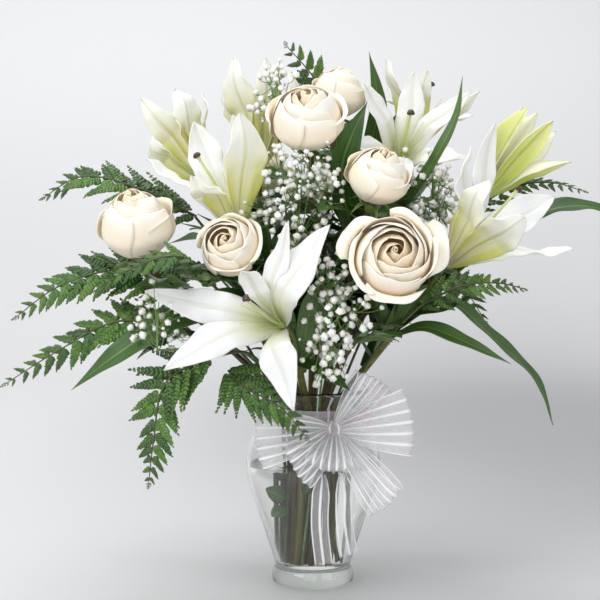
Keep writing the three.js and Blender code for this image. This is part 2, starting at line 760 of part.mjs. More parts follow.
// The hip and its five sepals, below the bloom: radius and height of ten points a ring, every
// other one of the middle ring drawn out to a sepal's tip.
const CALYX = { bottom: -16, hip: [4.6, -9], notch: [6, -5], sepal: [23, -12], top: [4.4, -2.6] };
// Below its hip a rose's stem runs straight, and then bends towards the sheaf.
const ROSE_NECK = { sunk: 9, straight: 46, pull: 0.25, height: 240 };

function roseStem({ centre, facing, radius, slot }) {
  const { axis, right, up } = frameOf(facing);
  const top = along(vec(centre), [axis, -ROSE_DEPTH * radius - PETAL]);
  const bend = along(top, [axis, -ROSE_NECK.straight])
    .lerp(sheafPoint(slot, ROSE_NECK.height), ROSE_NECK.pull);
  const at = ([out, height], k) => along(top, [axis, height],
    [right, out * Math.cos((k * Math.PI) / 5)], [up, out * Math.sin((k * Math.PI) / 5)]);
  const ring = (even, odd) => Array.from({ length: 10 }, (_, k) => at(k % 2 ? odd : even, k));
  const rings = [
    ring(CALYX.hip, CALYX.hip), ring(CALYX.sepal, CALYX.notch), ring(CALYX.top, CALYX.top),
  ];
  const calyx = ringed(at([0, CALYX.bottom], 0), rings, at([0, CALYX.top[1]], 0));
  return stem(climb(slot, [bend, along(top, [axis, -ROSE_NECK.sunk])]), STEM.rose).add(calyx);
}

// ---- Ferns ----

const LEAFLET = { out: 0.76, lean: 0.64, droop: 0.14 }; // its direction: side, tip and down
const RIB = { foot: 1.5, tip: 0.6 }; // half the rib's width
const FROND_TAPER = 0.75; // power of a leaflet's length over its distance from the tip
const LOWEST_PAIR = 0.8; // its length, as a part of the next pair's
const TIP_ROOM = 0.6; // bare rib at the tip, in leaflets
const STALK_SUNK = 0.012; // how far the stalk reaches up the rib, in ribs
const STALK_STEPS = 4; // straight stretches of the stalk above the neck

function frond({ slot, path, rib, reach, pairs, up }) {
  const curve = new THREE.CatmullRomCurve3(rib.map(vec));
  const face = vec(up).normalize();
  const sheet = new Sheet();
  const rows = [];
  const addRow = (t) => {
    const side = curve.getTangent(t).cross(face).normalize();
    const half = THREE.MathUtils.lerp(RIB.foot, RIB.tip, t);
    rows.push([-1, 1].map((sign) => sheet.point(along(curve.getPoint(t), [side, sign * half]))));
    if (rows.length > 1) sheet.strip(rows.at(-2), rows.at(-1));
  };
  addRow(0);
  for (let pair = 0; pair < pairs; pair += 1) {
    addRow((pair + 1) / (pairs + TIP_ROOM));
    const t = (pair + 0.5) / (pairs + TIP_ROOM);
    const forward = curve.getTangent(t);
    const side = forward.clone().cross(face).normalize();
    const length = reach * (1 - t) ** FROND_TAPER * (pair === 0 ? LOWEST_PAIR : 1);
    const [lower, upper] = rows.slice(-2);
    [-1, 1].forEach((sign, column) => {
      const root = sheet.points[lower[column]].clone().lerp(sheet.points[upper[column]], 0.5);
      const run = along(new THREE.Vector3(),
        [side, sign * LEAFLET.out], [forward, LEAFLET.lean], [face, -LEAFLET.droop]).normalize();
      const tip = sheet.point(along(root, [run, length]));
      if (sign < 0) sheet.triangle(lower[column], upper[column], tip);
      else sheet.triangle(upper[column], lower[column], tip);
    });
  }
  sheet.fan(rows.at(-1), sheet.point(curve.getPoint(1)));
  const stalk = climb(slot, [...path.map(vec), curve.getPoint(STALK_SUNK)], STALK_STEPS);
  return stem(stalk, STEM.fern, 4).add(sheet.thicken(BLADE));
}

// ---- Baby's breath ----

const TWIG = 0.7; // radius of a floret's own twig
const LOWER_FLORET = 0.62; // its place along the twig
const SPRAY_STEM = { foot: -0.8, crown: 0.55 }; // the forked stretch, in half heights of the egg
const SHELL = 0.75; // florets fill the egg's outer part, from here to its surface
const TRIES = 20; // places tried for each twig
const FORKING = 0.25; // twigs of a spray may cross only in this first part of their length

/** A twig with one floret on its side and one at its end; extra makes all of it stouter. */
function floretTwig(from, to, extra = 0) {
  const length = from.distanceTo(to);
  const twig = TWIG + extra;
  const radius = FLORET + extra;
  const lower = LOWER_FLORET * length;
  const outline = [
    [0, 0], [twig, 0], [twig, lower - radius], [0.85 * radius, lower], [twig, lower + radius],
    [twig, length - radius], [radius, length], [0, length + 0.7 * radius],
  ];
  return turnedAlong(outline, from, to, 3);
}

/** A random place near the surface of the egg. */
function placeInEgg(random, middle, half) {
  const turn = random() * 2 * Math.PI;
  const height = 2 * random() - 1;
  const out = THREE.MathUtils.lerp(SHELL, 1, random());
  const flat = Math.sqrt(1 - height * height);
  return new THREE.Vector3(flat * Math.cos(turn), flat * Math.sin(turn), height)
    .multiplyScalar(out).multiply(half).add(middle);
}

/** A forked stem with twigs wherever their florets have room. */
function spray({ slot, path, centre, size, twigs }, seed) {
  const random = randomStream(seed);
  const middle = vec(centre);
  const half = vec(size);
  const rise = new THREE.Vector3(0, 0, 1);
  const foot = along(middle, [rise, SPRAY_STEM.foot * half.z]);
  const crown = along(middle, [rise, SPRAY_STEM.crown * half.z]);
  const made = [];
  for (let trial = 0; trial < twigs * TRIES && made.length < twigs; trial += 1) {
    const spot = placeInEgg(random, middle, half);
    const fork = foot.clone().lerp(crown, (made.length + 0.5) / twigs);
    const whole = floretTwig(fork, spot, CLEAR);
    const outer = floretTwig(fork.clone().lerp(spot, FORKING), spot, CLEAR);
    if (isFree(whole) && made.every((other) => other.intersect(outer).isEmpty())) {
      made.push(floretTwig(fork, spot));
    }
  }
  return join([stem([...climb(slot, [...path.map(vec), foot]), crown], STEM.gypsophila, 4), ...made]);
}

// ---- Ribbon ----

const RIBBON_STEPS = 6; // stretches along a loop or a tail
const PLEAT = { foot: 0.1, power: 0.6 }; // how a loop widens from the knot
const PUFF_AT_KNOT = 0.35; // how far a loop's sides part near the knot, to its end
const LOOP_ROOT = { out: 4, apart: 1.2 }; // where its two ends enter the knot

/** A ribbon loop: out from the knot, over a round end, and back. */
function loop({ out, across, length, wide, deep }) {
  const middle = vec(KNOT.centre);
  const forward = vec(out).normalize();
  const width = along(vec(across), [forward, -vec(across).dot(forward)]).normalize();
  const depth = forward.clone().cross(width);
  const sheet = new Sheet();
  let row = null;
  for (let k = 0; k <= RIBBON_STEPS; k += 1) {
    const turn = (k / RIBBON_STEPS) * 2 * Math.PI;
    const reach = 0.5 * (1 - Math.cos(turn));
    const bulge = 0.5 * deep * Math.sin(turn) * THREE.MathUtils.lerp(PUFF_AT_KNOT, 1, reach);
    const apart = LOOP_ROOT.apart * Math.sign(RIBBON_STEPS / 2 - k) * (reach === 0 ? 1 : 0);
    const half = (wide / 2) * THREE.MathUtils.lerp(PLEAT.foot, 1, reach ** PLEAT.power);
    const point = along(middle, [depth, bulge + apart],
      [forward, THREE.MathUtils.lerp(LOOP_ROOT.out, length, reach)]);
    const next = [-1, 1].map((sign) => sheet.point(along(point, [width, sign * half])));
    if (row) sheet.strip(row, next);
    row = next;
  }
  return sheet.thicken(BLADE);
}

const TAIL_PLEAT = { foot: 0.3, growth: 1.4 }; // its width where it leaves the bow, and beyond

function tail({ points, wide, up }) {
  const curve = new THREE.CatmullRomCurve3(points.map(vec));
  const sheet = new Sheet();
  let row = null;
  for (let k = 0; k <= RIBBON_STEPS; k += 1) {
    const t = k / RIBBON_STEPS;
    const side = curve.getTangent(t).cross(vec(up)).normalize();
    const half = (wide / 2) * Math.min(1, TAIL_PLEAT.foot + TAIL_PLEAT.growth * t);
    const next = [-1, 1].map((sign) => sheet.point(along(curve.getPoint(t), [side, sign * half])));
    if (row) sheet.strip(row, next);
    row = next;
  }
  return sheet.thicken(BLADE);
}

// ---- Water and stalks ----

const WATER_EDGE = 1.4; // the water's top is wider than its last ring by this
const WATER_GAP = 0.48; // between the water and the glass, across

/** The water fills the vase up to its level, with a plain hole for each stem. */
function water() {
  const [floor, ...wall] = VASE_INSIDE.filter(([, height]) => height < WATER_LEVEL).reverse()
    .map(([radius, height]) => [radius - WATER_GAP, height]);
  const [edge] = wall.at(-1);
  const outline = [
    [0, VASE_FLOOR + CLEAR], [floor[0], floor[1] + CLEAR], ...wall,
    [edge + WATER_EDGE, WATER_LEVEL], [0, WATER_LEVEL],
  ];
  return channels.reduce((rest, hole) => rest.subtract(hole), turned(outline));
}

const PEDICEL = { sunk: 3, swing: 0.45 }; // its root in the stalk, and its curve towards the bloom

/** A bloom's own stalk, from the end of the lily stalk into the bloom's axis. */
function pedicel(fork, { base, axis }) {
  const ahead = vec(axis).normalize();
  const heel = along(vec(base), [ahead, -PETAL - CLEAR]);
  const curve = new THREE.QuadraticBezierCurve3(
    along(fork, [new THREE.Vector3(0, 0, 1), -PEDICEL.sunk]),
    along(heel, [ahead, -PEDICEL.swing * heel.distanceTo(fork)]),
    heel);
  return stem(curve.getPoints(3), STEM.pedicel);
}

/** A stalk with the pedicels of its blooms, its long leaves and short leaves between them. */
function lilyStalk({ slot, path, blooms, leaves }) {
  const stations = climb(slot, path.map(vec));
  const borne = LILIES.filter((lily) => blooms.includes(lily.name));
  return join([
    stem(stations, STEM.lily),
    ...borne.map((lily) => pedicel(stations.at(-1), lily)),
    ...leaves.map((blade) => leaf(blade)),
    ...fillerLeaves(stations, slot[0]),
  ]);
}

// ---- The arrangement ----

place("vase", turned([[0, 0], ...VASE_OUTSIDE, ...VASE_INSIDE, [0, VASE_FLOOR]]), "glass");

for (const { slot } of ROSES) channel(slot, STEM.rose);
for (const { slot } of STALKS) channel(slot, STEM.lily);
for (const { slot } of FRONDS) channel(slot, STEM.fern, 4);
for (const { slot } of SPRAYS) channel(slot, STEM.gypsophila, 4);
place("water", water(), "water");

const bandOut = BAND.radius + BAND.thick;
place("ribbon_band", turned([
  [BAND.radius, BAND.low], [bandOut, BAND.low], [bandOut, BAND.high], [BAND.radius, BAND.high],
  [BAND.radius, BAND.low],
]), "ribbon");

for (const rose of ROSES) place(`rose_${rose.name}_stem`, roseStem(rose), "stem");
for (const rose of ROSES) place(`rose_${rose.name}_bloom`, roseBloom(rose), "rose");

for (const lily of LILIES) {
  place(`lily_${lily.name}_bloom`, lilyBloom(lily), lily.bud ? "bud" : "lily");
  if (!lily.bud) place(`lily_${lily.name}_pistil`, lilyPistil(lily), "pistil");
}

for (const blade of FRONDS) place(`fern_${blade.name}`, frond(blade), "fern");

const knot = new THREE.SphereGeometry(1, 6, 4).scale(...KNOT.size).translate(...KNOT.centre);
place("ribbon_bow", join([toSolid(knot), ...LOOPS.map(loop)]), "ribbon");
for (const end of TAILS) place(`ribbon_tail_${end.name}`, tail(end), "ribbon");

for (const stalk of STALKS) place(`lily_stalk_${stalk.name}`, lilyStalk(stalk), "leaf");
SPRAYS.forEach((one, k) => place(`gypsophila_${one.name}`, spray(one, 101 + k), "floret"));

export default bouquet;
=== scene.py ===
"""White lilies, cream roses, baby's breath and leatherleaf fern in a clear glass vase.

Lengths are in millimetres up to the point where a mesh is written, in metres. +Z is up, -Y the
front and +X the right. Every surface is worked out with numpy as a grid of points; its two
directions are called across (u) and along (v).
"""

import math

import bpy
import numpy as np
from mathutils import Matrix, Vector
from numpy import clip, cos, cross, exp, sin


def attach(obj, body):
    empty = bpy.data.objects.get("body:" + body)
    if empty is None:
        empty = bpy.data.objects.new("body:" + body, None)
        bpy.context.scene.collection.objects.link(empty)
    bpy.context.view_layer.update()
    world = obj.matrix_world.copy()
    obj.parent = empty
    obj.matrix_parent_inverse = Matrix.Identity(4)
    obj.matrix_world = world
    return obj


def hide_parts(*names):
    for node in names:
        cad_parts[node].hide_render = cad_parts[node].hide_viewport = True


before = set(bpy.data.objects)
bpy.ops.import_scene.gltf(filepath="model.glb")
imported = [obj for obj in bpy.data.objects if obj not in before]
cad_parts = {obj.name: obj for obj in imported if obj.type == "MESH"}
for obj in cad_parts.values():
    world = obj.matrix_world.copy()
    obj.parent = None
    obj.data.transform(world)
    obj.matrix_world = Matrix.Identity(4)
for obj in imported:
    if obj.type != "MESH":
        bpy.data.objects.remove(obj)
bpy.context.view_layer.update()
MM = 0.001


# ---- Camera ----

EYE = (-0.013, -1.5, 0.4)
LOOK_DOWN = 4.385  # degrees
FIELD = 22.56  # degrees across the image


def stand(name, data, place=(0, 0, 0), turn=(0, 0, 0)):
    """Puts an object into the scene."""
    made = bpy.data.objects.new(name, data)
    made.location, made.rotation_euler = place, turn
    bpy.context.collection.objects.link(made)
    return made


view = bpy.data.cameras.new("camera")
view.angle = math.radians(FIELD)
bpy.context.scene.camera = stand("camera", view, EYE, (math.radians(90 - LOOK_DOWN), 0, 0))


# ---- Layout: the same values as the solids ----

VASE_OUTSIDE = [  # radius, height, from the top of the foot up
    (37.5, 18), (44, 38), (55, 72), (65.5, 102), (67.5, 125), (60, 150), (46, 166), (43, 174),
    (56, 196),
]
VASE_INSIDE = [
    (53.2, 196.4), (39.4, 175), (42.4, 164), (56.4, 148), (63.9, 125),
    (61.9, 102.6), (51.4, 73), (40.2, 40), (33, 19),
]
VASE_FLOOR = 16
WATER_LEVEL = 121
CLEAR = 0.4

SHEAF_LOW, SHEAF_NECK = 23, 178
LOW_SPREAD, NECK_SPREAD, SHEAF_TWIST = 27, 31.5, 32

ROSES = [  # name, centre, facing, radius, open, slot
    ("left", (-167, -73, 355), (-0.15, -0.42, 0.89), 37, 0, (203, 0.7)),
    ("inner_left", (-78, -97, 341), (-0.22, -0.85, 0.48), 31, 0.7, (234, 0.66)),
    ("front", (71, -135, 334), (0.05, -0.93, 0.36), 42, 1, (297, 0.72)),
    ("inner_right", (59, -80, 403), (0.2, -0.5, 0.84), 31, 0.15, (315, 0.38)),
    ("top_front", (-6, -50, 458), (-0.1, -0.6, 0.79), 37, 0.3, (258, 0.36)),
    ("top_rear", (25, 27, 486), (0.08, -0.2, 0.97), 29, 0.1, (75, 0.06)),
    ("back", (-52, 118, 398), (-0.25, 0.78, 0.57), 36, 0.7, (113, 0.68)),
]

LILIES = [  # name, base, axis, style, tepals of (direction, opening, reach, width)
    ("front", (-27, -92, 266), (-0.38, -0.87, 0.28), 88,
     [(52, 70, 106, 38), (72, 58, 104, 23), (100, 26, 92, 24),
      (165, 62, 130, 32), (206, 58, 120, 33), (286, 69, 94, 35)]),
    ("left_front", (-72, -58, 350), (-0.2, -0.15, 0.97), 86,
     [(5, 27, 92, 28), (62, 20, 118, 30), (118, 26, 122, 36),
      (178, 40, 112, 36), (238, 38, 82, 34), (306, 25, 130, 46)]),
    ("left_rear", (-101, -2, 398), (-0.58, 0.22, 0.78), 80,
     [(10, 33, 99, 27), (68, 36, 96, 32), (128, 38, 84, 27),
      (205, 18, 80, 30), (260, 31, 110, 28), (305, 26, 102, 34)]),
    ("left_top", (-54, 50, 412), (-0.02, 0.16, 0.98), 82,
     [(60, 28, 106, 32), (122, 26, 109, 28), (190, 25, 100, 32),
      (241, 25, 120, 34), (282, 24, 118, 26), (332, 24, 108, 28)]),
    ("right_top", (86, 38, 412), (0.12, -0.74, 0.66), 80,
     [(36, 46, 106, 23), (84, 38, 102, 27), (138, 40, 100, 23),
      (205, 48, 94, 26), (265, 54, 84, 22), (325, 46, 94, 26)]),
    ("right_rear", (100, 68, 430), (0.3, 0.24, 0.92), 84,
     [(40, 44, 98, 22), (96, 46, 104, 26), (151, 45, 95, 21),
      (204, 36, 100, 26), (262, 40, 90, 22), (322, 43, 94, 25)]),
    ("right", (128, -42, 320), (0.64, -0.34, 0.69), 104,
     [(48, 42, 134, 38), (104, 46, 158, 28), (146, 37, 116, 34),
      (204, 24, 108, 38), (268, 29, 116, 40), (338, 38, 122, 34)]),
    ("right_bud", (166, 26, 382), (0.6, 0.02, 0.8), 0,
     [(40, 15, 112, 22), (100, 11, 114, 24), (160, 12, 108, 22),
      (220, 12, 108, 24), (285, 18, 112, 22), (342, 31, 102, 24)]),
]

# name, slot, path, blooms, leaves of (points, width, up), short leaves of (place, size)
STALKS = [
    ("front", (256, 0.68), [(-16, -52, 232)], ("front",),
     [([(-14, -50, 228), (10, -84, 222), (34, -104, 208)], 20, (0, -0.5, 1))],
     [(2, 1)]),
    ("left", (180, 0.36), [(-44, 4, 280), (-62, 4, 336)],
     ("left_front", "left_rear", "left_top"),
     [([(-46, 4, 290), (-42, -26, 324), (-44, -48, 352), (-50, -58, 384)], 17, (-1, -1, 0)),
      ([(-40, 4, 268), (-76, -44, 286), (-130, -84, 274), (-186, -82, 240), (-232, -72, 204)],
       32, (0, -1, 0.7)),
      ([(-48, 6, 296), (-84, 46, 330), (-116, 80, 344), (-152, 104, 338)], 24, (0, 0.4, 1))],
     [(0, 0.55), (1, 1), (2, 1)]),
    ("right_rear", (28, 0.4), [(58, 32, 300), (76, 46, 366)], ("right_top", "right_rear"),
     [([(60, 32, 308), (34, -6, 372), (28, -34, 418), (38, -44, 450), (52, -42, 480)],
       27, (0.3, -1, 0.2)),
      ([(76, 46, 364), (60, 50, 430), (66, 34, 480), (56, 14, 532)], 20, (0.2, -1, 0)),
      ([(74, 44, 360), (102, -10, 398), (120, -40, 430), (138, -42, 468), (144, -34, 504)],
       11, (-0.6, -0.8, 0)),
      ([(72, 44, 352), (110, 92, 380), (134, 130, 376), (150, 160, 352)], 24, (0, 0.5, 1))],
     [(0, 1), (1, 1), (2, 1)]),
    ("right", (345, 0.68), [(74, -14, 246), (104, -18, 286)], ("right", "right_bud"),
     [([(98, -18, 276), (156, 12, 330), (216, 34, 366), (276, 42, 378), (326, 40, 366)],
       30, (-0.2, -0.6, 1)),
      ([(84, -16, 258), (130, -42, 286), (176, -40, 250), (222, -26, 204), (238, -22, 162)],
       21, (0.5, -0.5, 0.8)),
      ([(76, -14, 248), (108, -50, 262), (148, -62, 248), (190, -58, 228)],
       18, (0.1, -0.7, 0.8)),
      ([(92, -18, 270), (130, -62, 282), (168, -84, 306)], 12, (0, -0.6, 1))],
     [(2, 1)]),
]

FRONDS = [  # name, slot, path, reach, pairs, rib, up
    ("top", (96, 0.4), [(6, 60, 330)], 47, 9,
     [(20, 90, 436), (8, 86, 500), (-30, 58, 546)], (0.1, -1, 0.2)),
    ("left_high", (168, 0.7), [(-84, 26, 320)], 53, 13,
     [(-118, 26, 368), (-178, 6, 398), (-232, 12, 408), (-276, 18, 384)], (0, -0.7, 1)),
    ("left_mid", (186, 1), [(-78, -4, 256)], 54, 13,
     [(-120, -6, 294), (-186, -33, 317), (-246, -44, 302), (-294, -42, 268)], (0, -0.8, 0.8)),
    ("left_low", (204, 1), [(-76, -36, 240)], 48, 13,
     [(-126, -56, 262), (-190, -50, 268), (-250, -50, 238), (-304, -54, 204)], (0, -0.8, 0.8)),
    ("down_left", (222, 1), [(-62, -62, 238)], 50, 13,
     [(-98, -90, 238), (-138, -108, 216), (-150, -108, 160), (-157, -92, 112)], (-0.5, -1, 0.2)),
    ("down_front", (240, 1), [(-50, -64, 226)], 42, 12,
     [(-80, -98, 226), (-66, -120, 214), (-32, -124, 196), (-4, -116, 162)], (0, -1, 0.5)),
    ("front_left", (217, 0.62), [(-62, -62, 270)], 33, 12,
     [(-95, -88, 306), (-126, -130, 335), (-166, -136, 324), (-206, -122, 300)], (0, -0.6, 1)),
    ("right_high", (8, 0.98), [(104, 22, 300)], 28, 11,
     [(160, 48, 372), (206, 44, 398), (242, 28, 402), (276, 10, 392)], (0, -0.6, 1)),
    ("right_low", (328, 1), [(66, -50, 246)], 28, 11,
     [(98, -82, 284), (138, -100, 306), (172, -92, 308), (204, -70, 300)], (0, -0.8, 0.8)),
    ("back_left", (140, 1), [(-60, 60, 260)], 44, 9,
     [(-96, 98, 300), (-136, 136, 310), (-170, 158, 290), (-196, 168, 254)], (-0.3, 0.8, 0.8)),
    ("back_mid", (88, 1), [(4, 72, 262)], 44, 9,
     [(10, 112, 308), (12, 150, 306), (12, 176, 276), (10, 186, 234)], (0, 1, 0.6)),
    ("back_right", (45, 1), [(62, 62, 260)], 44, 9,
     [(100, 104, 300), (140, 138, 304), (172, 160, 280), (196, 170, 244)], (0.3, 0.8, 0.8)),
]

SPRAYS = [  # name, slot, path, centre, half axes, florets
    ("centre", (284, 0.34), [(8, -50, 302)], (-16, -70, 388), (46, 28, 62), 190),
    ("right", (352, 0.36), [(70, 2, 300)], (118, -12, 392), (34, 28, 50), 130),
    ("front", (280, 1), [(10, -60, 230)], (16, -112, 276), (28, 22, 54), 140),
    ("left", (213, 0.87), [(-70, -60, 240)], (-146, -104, 270), (30, 18, 30), 50),
    ("top", (140, 0.3), [(-30, 20, 400)], (-36, -6, 488), (24, 24, 32), 60),
    ("back", (66, 0.72), [(30, 56, 300)], (34, 92, 398), (46, 30, 46), 110),
]

KNOT_CENTRE, KNOT_SIZE = (20, -58, 163), (9, 8, 10)
LOOPS = [  # out, across, length, wide, deep
    ((-0.93, -0.3, -0.05), (-0.2, 0.1, 1), 80, 60, 24),
    ((-0.62, -0.64, -0.5), (-0.5, 0, 0.8), 64, 50, 20),
    ((-0.12, -0.82, -0.58), (1, 0, 0), 52, 46, 16),
    ((0.97, -0.2, 0.14), (-0.1, 0.1, 1), 78, 66, 26),
    ((0.62, -0.16, 0.77), (-0.7, -0.3, 0.6), 68, 46, 20),
    ((0.56, -0.36, -0.75), (0.4, -0.2, 0.85), 92, 46, 20),
]
TAILS = [  # name, width, up, points
    ("centre", 17, (0, -1, 0),
     [(8, -70, 122), (8, -73, 116), (7, -75, 104), (6, -74, 74), (10, -70, 34)]),
    ("right", 18, (0.3, -1, 0),
     [(27, -67, 122), (28, -69, 116), (30, -71, 104), (30, -70, 76), (35, -64, 42)]),
]
BAND_LOW, BAND_HIGH, BAND_RADIUS, BAND_THICK = 166.5, 180, 47.6, 1


# ---- Arrays ----

TURN = 2 * math.pi
GOLDEN = 137.508  # degrees from one leaf or petal to the next


def even(count, low=0.0, high=1.0):
    """Values spread evenly from low to high."""
    return np.linspace(low, high, count)


def column(count):
    """The same from 0 to 1, standing up, so that what is worked out from it goes by row."""
    return even(count)[:, None]


def vec(point):
    return np.array(point, float)


def unit(vectors):
    """Vectors divided by their lengths."""
    return vectors / np.maximum(np.linalg.norm(vectors, axis=-1, keepdims=True), 1e-12)


def length_of(line):
    return np.linalg.norm(np.diff(line, axis=0), axis=1).sum()


def lerp(start, end, part):
    return start + (end - start) * part


def step_up(value, low, high):
    """0 below low, 1 above high, and 3 s^2 - 2 s^3 between."""
    s = clip((value - low) / (high - low), 0, 1)
    return s * s * (3 - 2 * s)


def spin(angle, x, y):
    """The direction at an angle from x towards y: cos a x + sin a y."""
    return cos(angle)[..., None] * x + sin(angle)[..., None] * y


def ring(degrees):
    """The unit vector at an angle in the ground plane."""
    return spin(math.radians(degrees), vec((1, 0, 0)), vec((0, 1, 0)))


def luck_of(name, start=0):
    """A piece's own random draws, the same on every run."""
    return np.random.default_rng(start + sum(map(ord, name)))


def flow(places, values, at):
    """A smooth line through values at places: cubics whose slopes are harmonic means, so that
    it never overshoots."""
    x, y = np.array(places, float), np.array(values, float)
    step = np.diff(x)
    rise = np.diff(y) / step
    product = rise[:-1] * rise[1:]
    slope = np.concatenate([rise[:1], np.zeros(len(x) - 2), rise[-1:]])
    mean = 2 * product / np.where(product > 0, rise[:-1] + rise[1:], 1)
    slope[1:-1] = np.where(product > 0, mean, 0)
    k = clip(np.searchsorted(x, at, "right") - 1, 0, len(x) - 2)
    s = (at - x[k]) / step[k]
    return (y[k] * (1 + 2 * s) * (1 - s) ** 2 + step[k] * slope[k] * s * (1 - s) ** 2
            + y[k + 1] * s * s * (3 - 2 * s) + step[k] * slope[k + 1] * s * s * (s - 1))


class Curve:
    """A centripetal Catmull-Rom line through points, with its ends carried straight on."""

    def __init__(self, points):
        p = np.array(points, float)
        q = np.vstack([2 * p[0] - p[1], p, 2 * p[-1] - p[-2]])
        gap = np.linalg.norm(np.diff(q, axis=0), axis=1)[:, None] ** 0.5
        a, b, c = gap[:-2], gap[1:-1], gap[2:]
        x0, x1, x2, x3 = q[:-3], q[1:-2], q[2:-1], q[3:]
        out = ((x1 - x0) / a - (x2 - x0) / (a + b) + (x2 - x1) / b) * b
        into = ((x2 - x1) / b - (x3 - x1) / (b + c) + (x3 - x2) / c) * b
        self.terms = (x1, out, -3 * x1 + 3 * x2 - 2 * out - into, 2 * x1 - 2 * x2 + out + into)

    def at(self, t):
        count = len(self.terms[0])
        t = np.squeeze(t) * count
        k = clip(np.floor(t).astype(int), 0, count - 1)
        s = (t - k)[..., None]
        a, b, c, d = (term[k] for term in self.terms)
        return a + s * (b + s * (c + s * d))

    def run(self, t):
        """The unit tangent, from two points close by."""
        return unit(self.at(np.minimum(t + 1e-4, 1)) - self.at(np.maximum(t - 1e-4, 0)))


def bezier(start, elbow, end, t):
    return (1 - t) ** 2 * start + 2 * t * (1 - t) * elbow + t * t * end


def frame_of(direction):
    """Axis, right and up of something that looks along a direction."""
    axis = unit(vec(direction))
    right = unit(vec((1, 0, 0)) - axis[0] * axis)
    return axis, right, cross(axis, right)


def blade(line, across, side, lift, face):
    """The grid line + across side + lift face, where across and lift go by row and column."""
    side, face = np.reshape(side, (-1, 1, 3)), np.reshape(face, (-1, 1, 3))
    return line[:, None] + across[..., None] * side + lift[..., None] * face


def around(foot, axes, height, radius, angle):
    """The grid foot + height axis + radius (cos a right + sin a up)."""
    axis, right, up = axes
    return foot + height[..., None] * axis + radius[..., None] * spin(angle, right, up)


# ---- Bodies ----

THOUSANDTH = 0.001  # of a millimetre: points closer than this are one


class Body:
    """Gathers grids of points and four-cornered faces, and writes them as one mesh. A corner
    carries its place (u, v) and its mark (side, tint, zone)."""

    def __init__(self):
        self.parts = []
        self.count = 0

    def add(self, grid, faces, side=0.0, tint=0.0, zone=0.0, finish=0):
        """Adds copies of one pattern of faces. The grid goes by copy, layer, row and column."""
        copies, layers, rows, columns, _ = grid.shape
        tint, zone = (x if np.ndim(x) == 0 else np.reshape(x, (-1, 1, *np.shape(x)[-2:]))
                      for x in (tint, zone))
        look = [np.broadcast_to(x, grid.shape[:-1]).ravel()
                for x in (even(columns), column(rows), side, tint, zone)]
        size = layers * rows * columns
        faces = (faces + self.count + size * np.arange(copies)[:, None, None]).reshape(-1, 4)
        finish = np.full(len(faces), finish)
        self.parts.append((grid.reshape(-1, 3), faces, np.stack(look, axis=-1), finish))
        self.count += copies * size

    def write(self, name, node, slot, *finishes):
        """Welds points, drops collapsed corners and faces, and makes a node's visible piece."""
        points, faces, look, finish = (np.concatenate(part) for part in zip(*self.parts))
        grain = np.round(points / THOUSANDTH).astype(np.int64) + (1 << 20)
        key = (grain[:, 0] << 42) | (grain[:, 1] << 21) | grain[:, 2]
        _, first, order = np.unique(key, return_index=True, return_inverse=True)
        welded = order.reshape(-1)[faces]
        keep = welded != np.roll(welded, 1, axis=1)
        kept = keep.sum(axis=1) > 2
        keep, welded, faces, finish = keep[kept], welded[kept], faces[kept], finish[kept]
        sizes = keep.sum(axis=1)
        look = look[faces[keep]]

        def fill(data, key, values, kind=np.int32):
            data.foreach_set(key, np.asarray(values, kind).ravel())

        mesh = bpy.data.meshes.new(name)
        mesh.vertices.add(len(first))
        fill(mesh.vertices, "co", points[first] * MM, np.float32)
        mesh.loops.add(len(look))
        fill(mesh.loops, "vertex_index", welded[keep])
        mesh.polygons.add(len(sizes))
        fill(mesh.polygons, "loop_start", np.cumsum(sizes) - sizes)
        fill(mesh.polygons, "material_index", finish)
        fill(mesh.polygons, "use_smooth", np.ones(len(sizes)), bool)
        fill(mesh.uv_layers.new(name="Surface").data, "uv", look[:, :2], np.float32)
        mark = mesh.attributes.new("mark", "FLOAT_VECTOR", "CORNER")
        fill(mark.data, "vector", look[:, 2:], np.float32)
        mesh.update(calc_edges=True)
        for material in finishes:
            mesh.materials.append(material)
        piece = stand(name, mesh)
        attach(piece, "root")
        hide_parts(node)
        return piece


def grid_faces(rows, columns):
    """The corners of each face of a grid of points, turned so that across x along is outside."""
    k = np.arange(rows * columns).reshape(rows, columns)
    return np.stack([k[:-1, :-1], k[:-1, 1:], k[1:, 1:], k[1:, :-1]], axis=-1).reshape(-1, 4)


def surface(body, grid, **look):
    """Grids of points as they are; they close on themselves at their seams and poles."""
    grid = grid.reshape(-1, 1, *grid.shape[-3:])
    body.add(grid, grid_faces(*grid.shape[2:4]), **look)


def shell(body, grid, thickness, **look):
    """A thin closed blade: the grid moved half its thickness to both sides along its normals,
    across x along, with its four edges closed. The outer side has side 1."""
    grid = grid.reshape(-1, *grid.shape[-3:])
    _, rows, columns, _ = grid.shape
    normal = cross(np.gradient(grid, axis=2), np.gradient(grid, axis=1))
    flat = np.linalg.norm(normal, axis=-1, keepdims=True) < 1e-5
    for end, inner in ((0, 1), (-1, -2)):
        normal[:, end] = np.where(flat[:, end], normal[:, inner], normal[:, end])
    normal = unit(normal) * thickness / 2
    size = rows * columns
    k = np.arange(size).reshape(rows, columns)
    top = grid_faces(rows, columns)
    rim = np.concatenate([k[0, :-1], k[:-1, -1], k[-1, :0:-1], k[:0:-1, 0]])
    onward = np.roll(rim, -1)
    edge = np.stack([onward, rim, rim + size, onward + size], axis=-1)
    body.add(np.stack([grid + normal, grid - normal], axis=1),
             np.concatenate([top, top[:, ::-1] + size, edge]),
             side=np.array([1.0, 0.0])[:, None, None], **look)


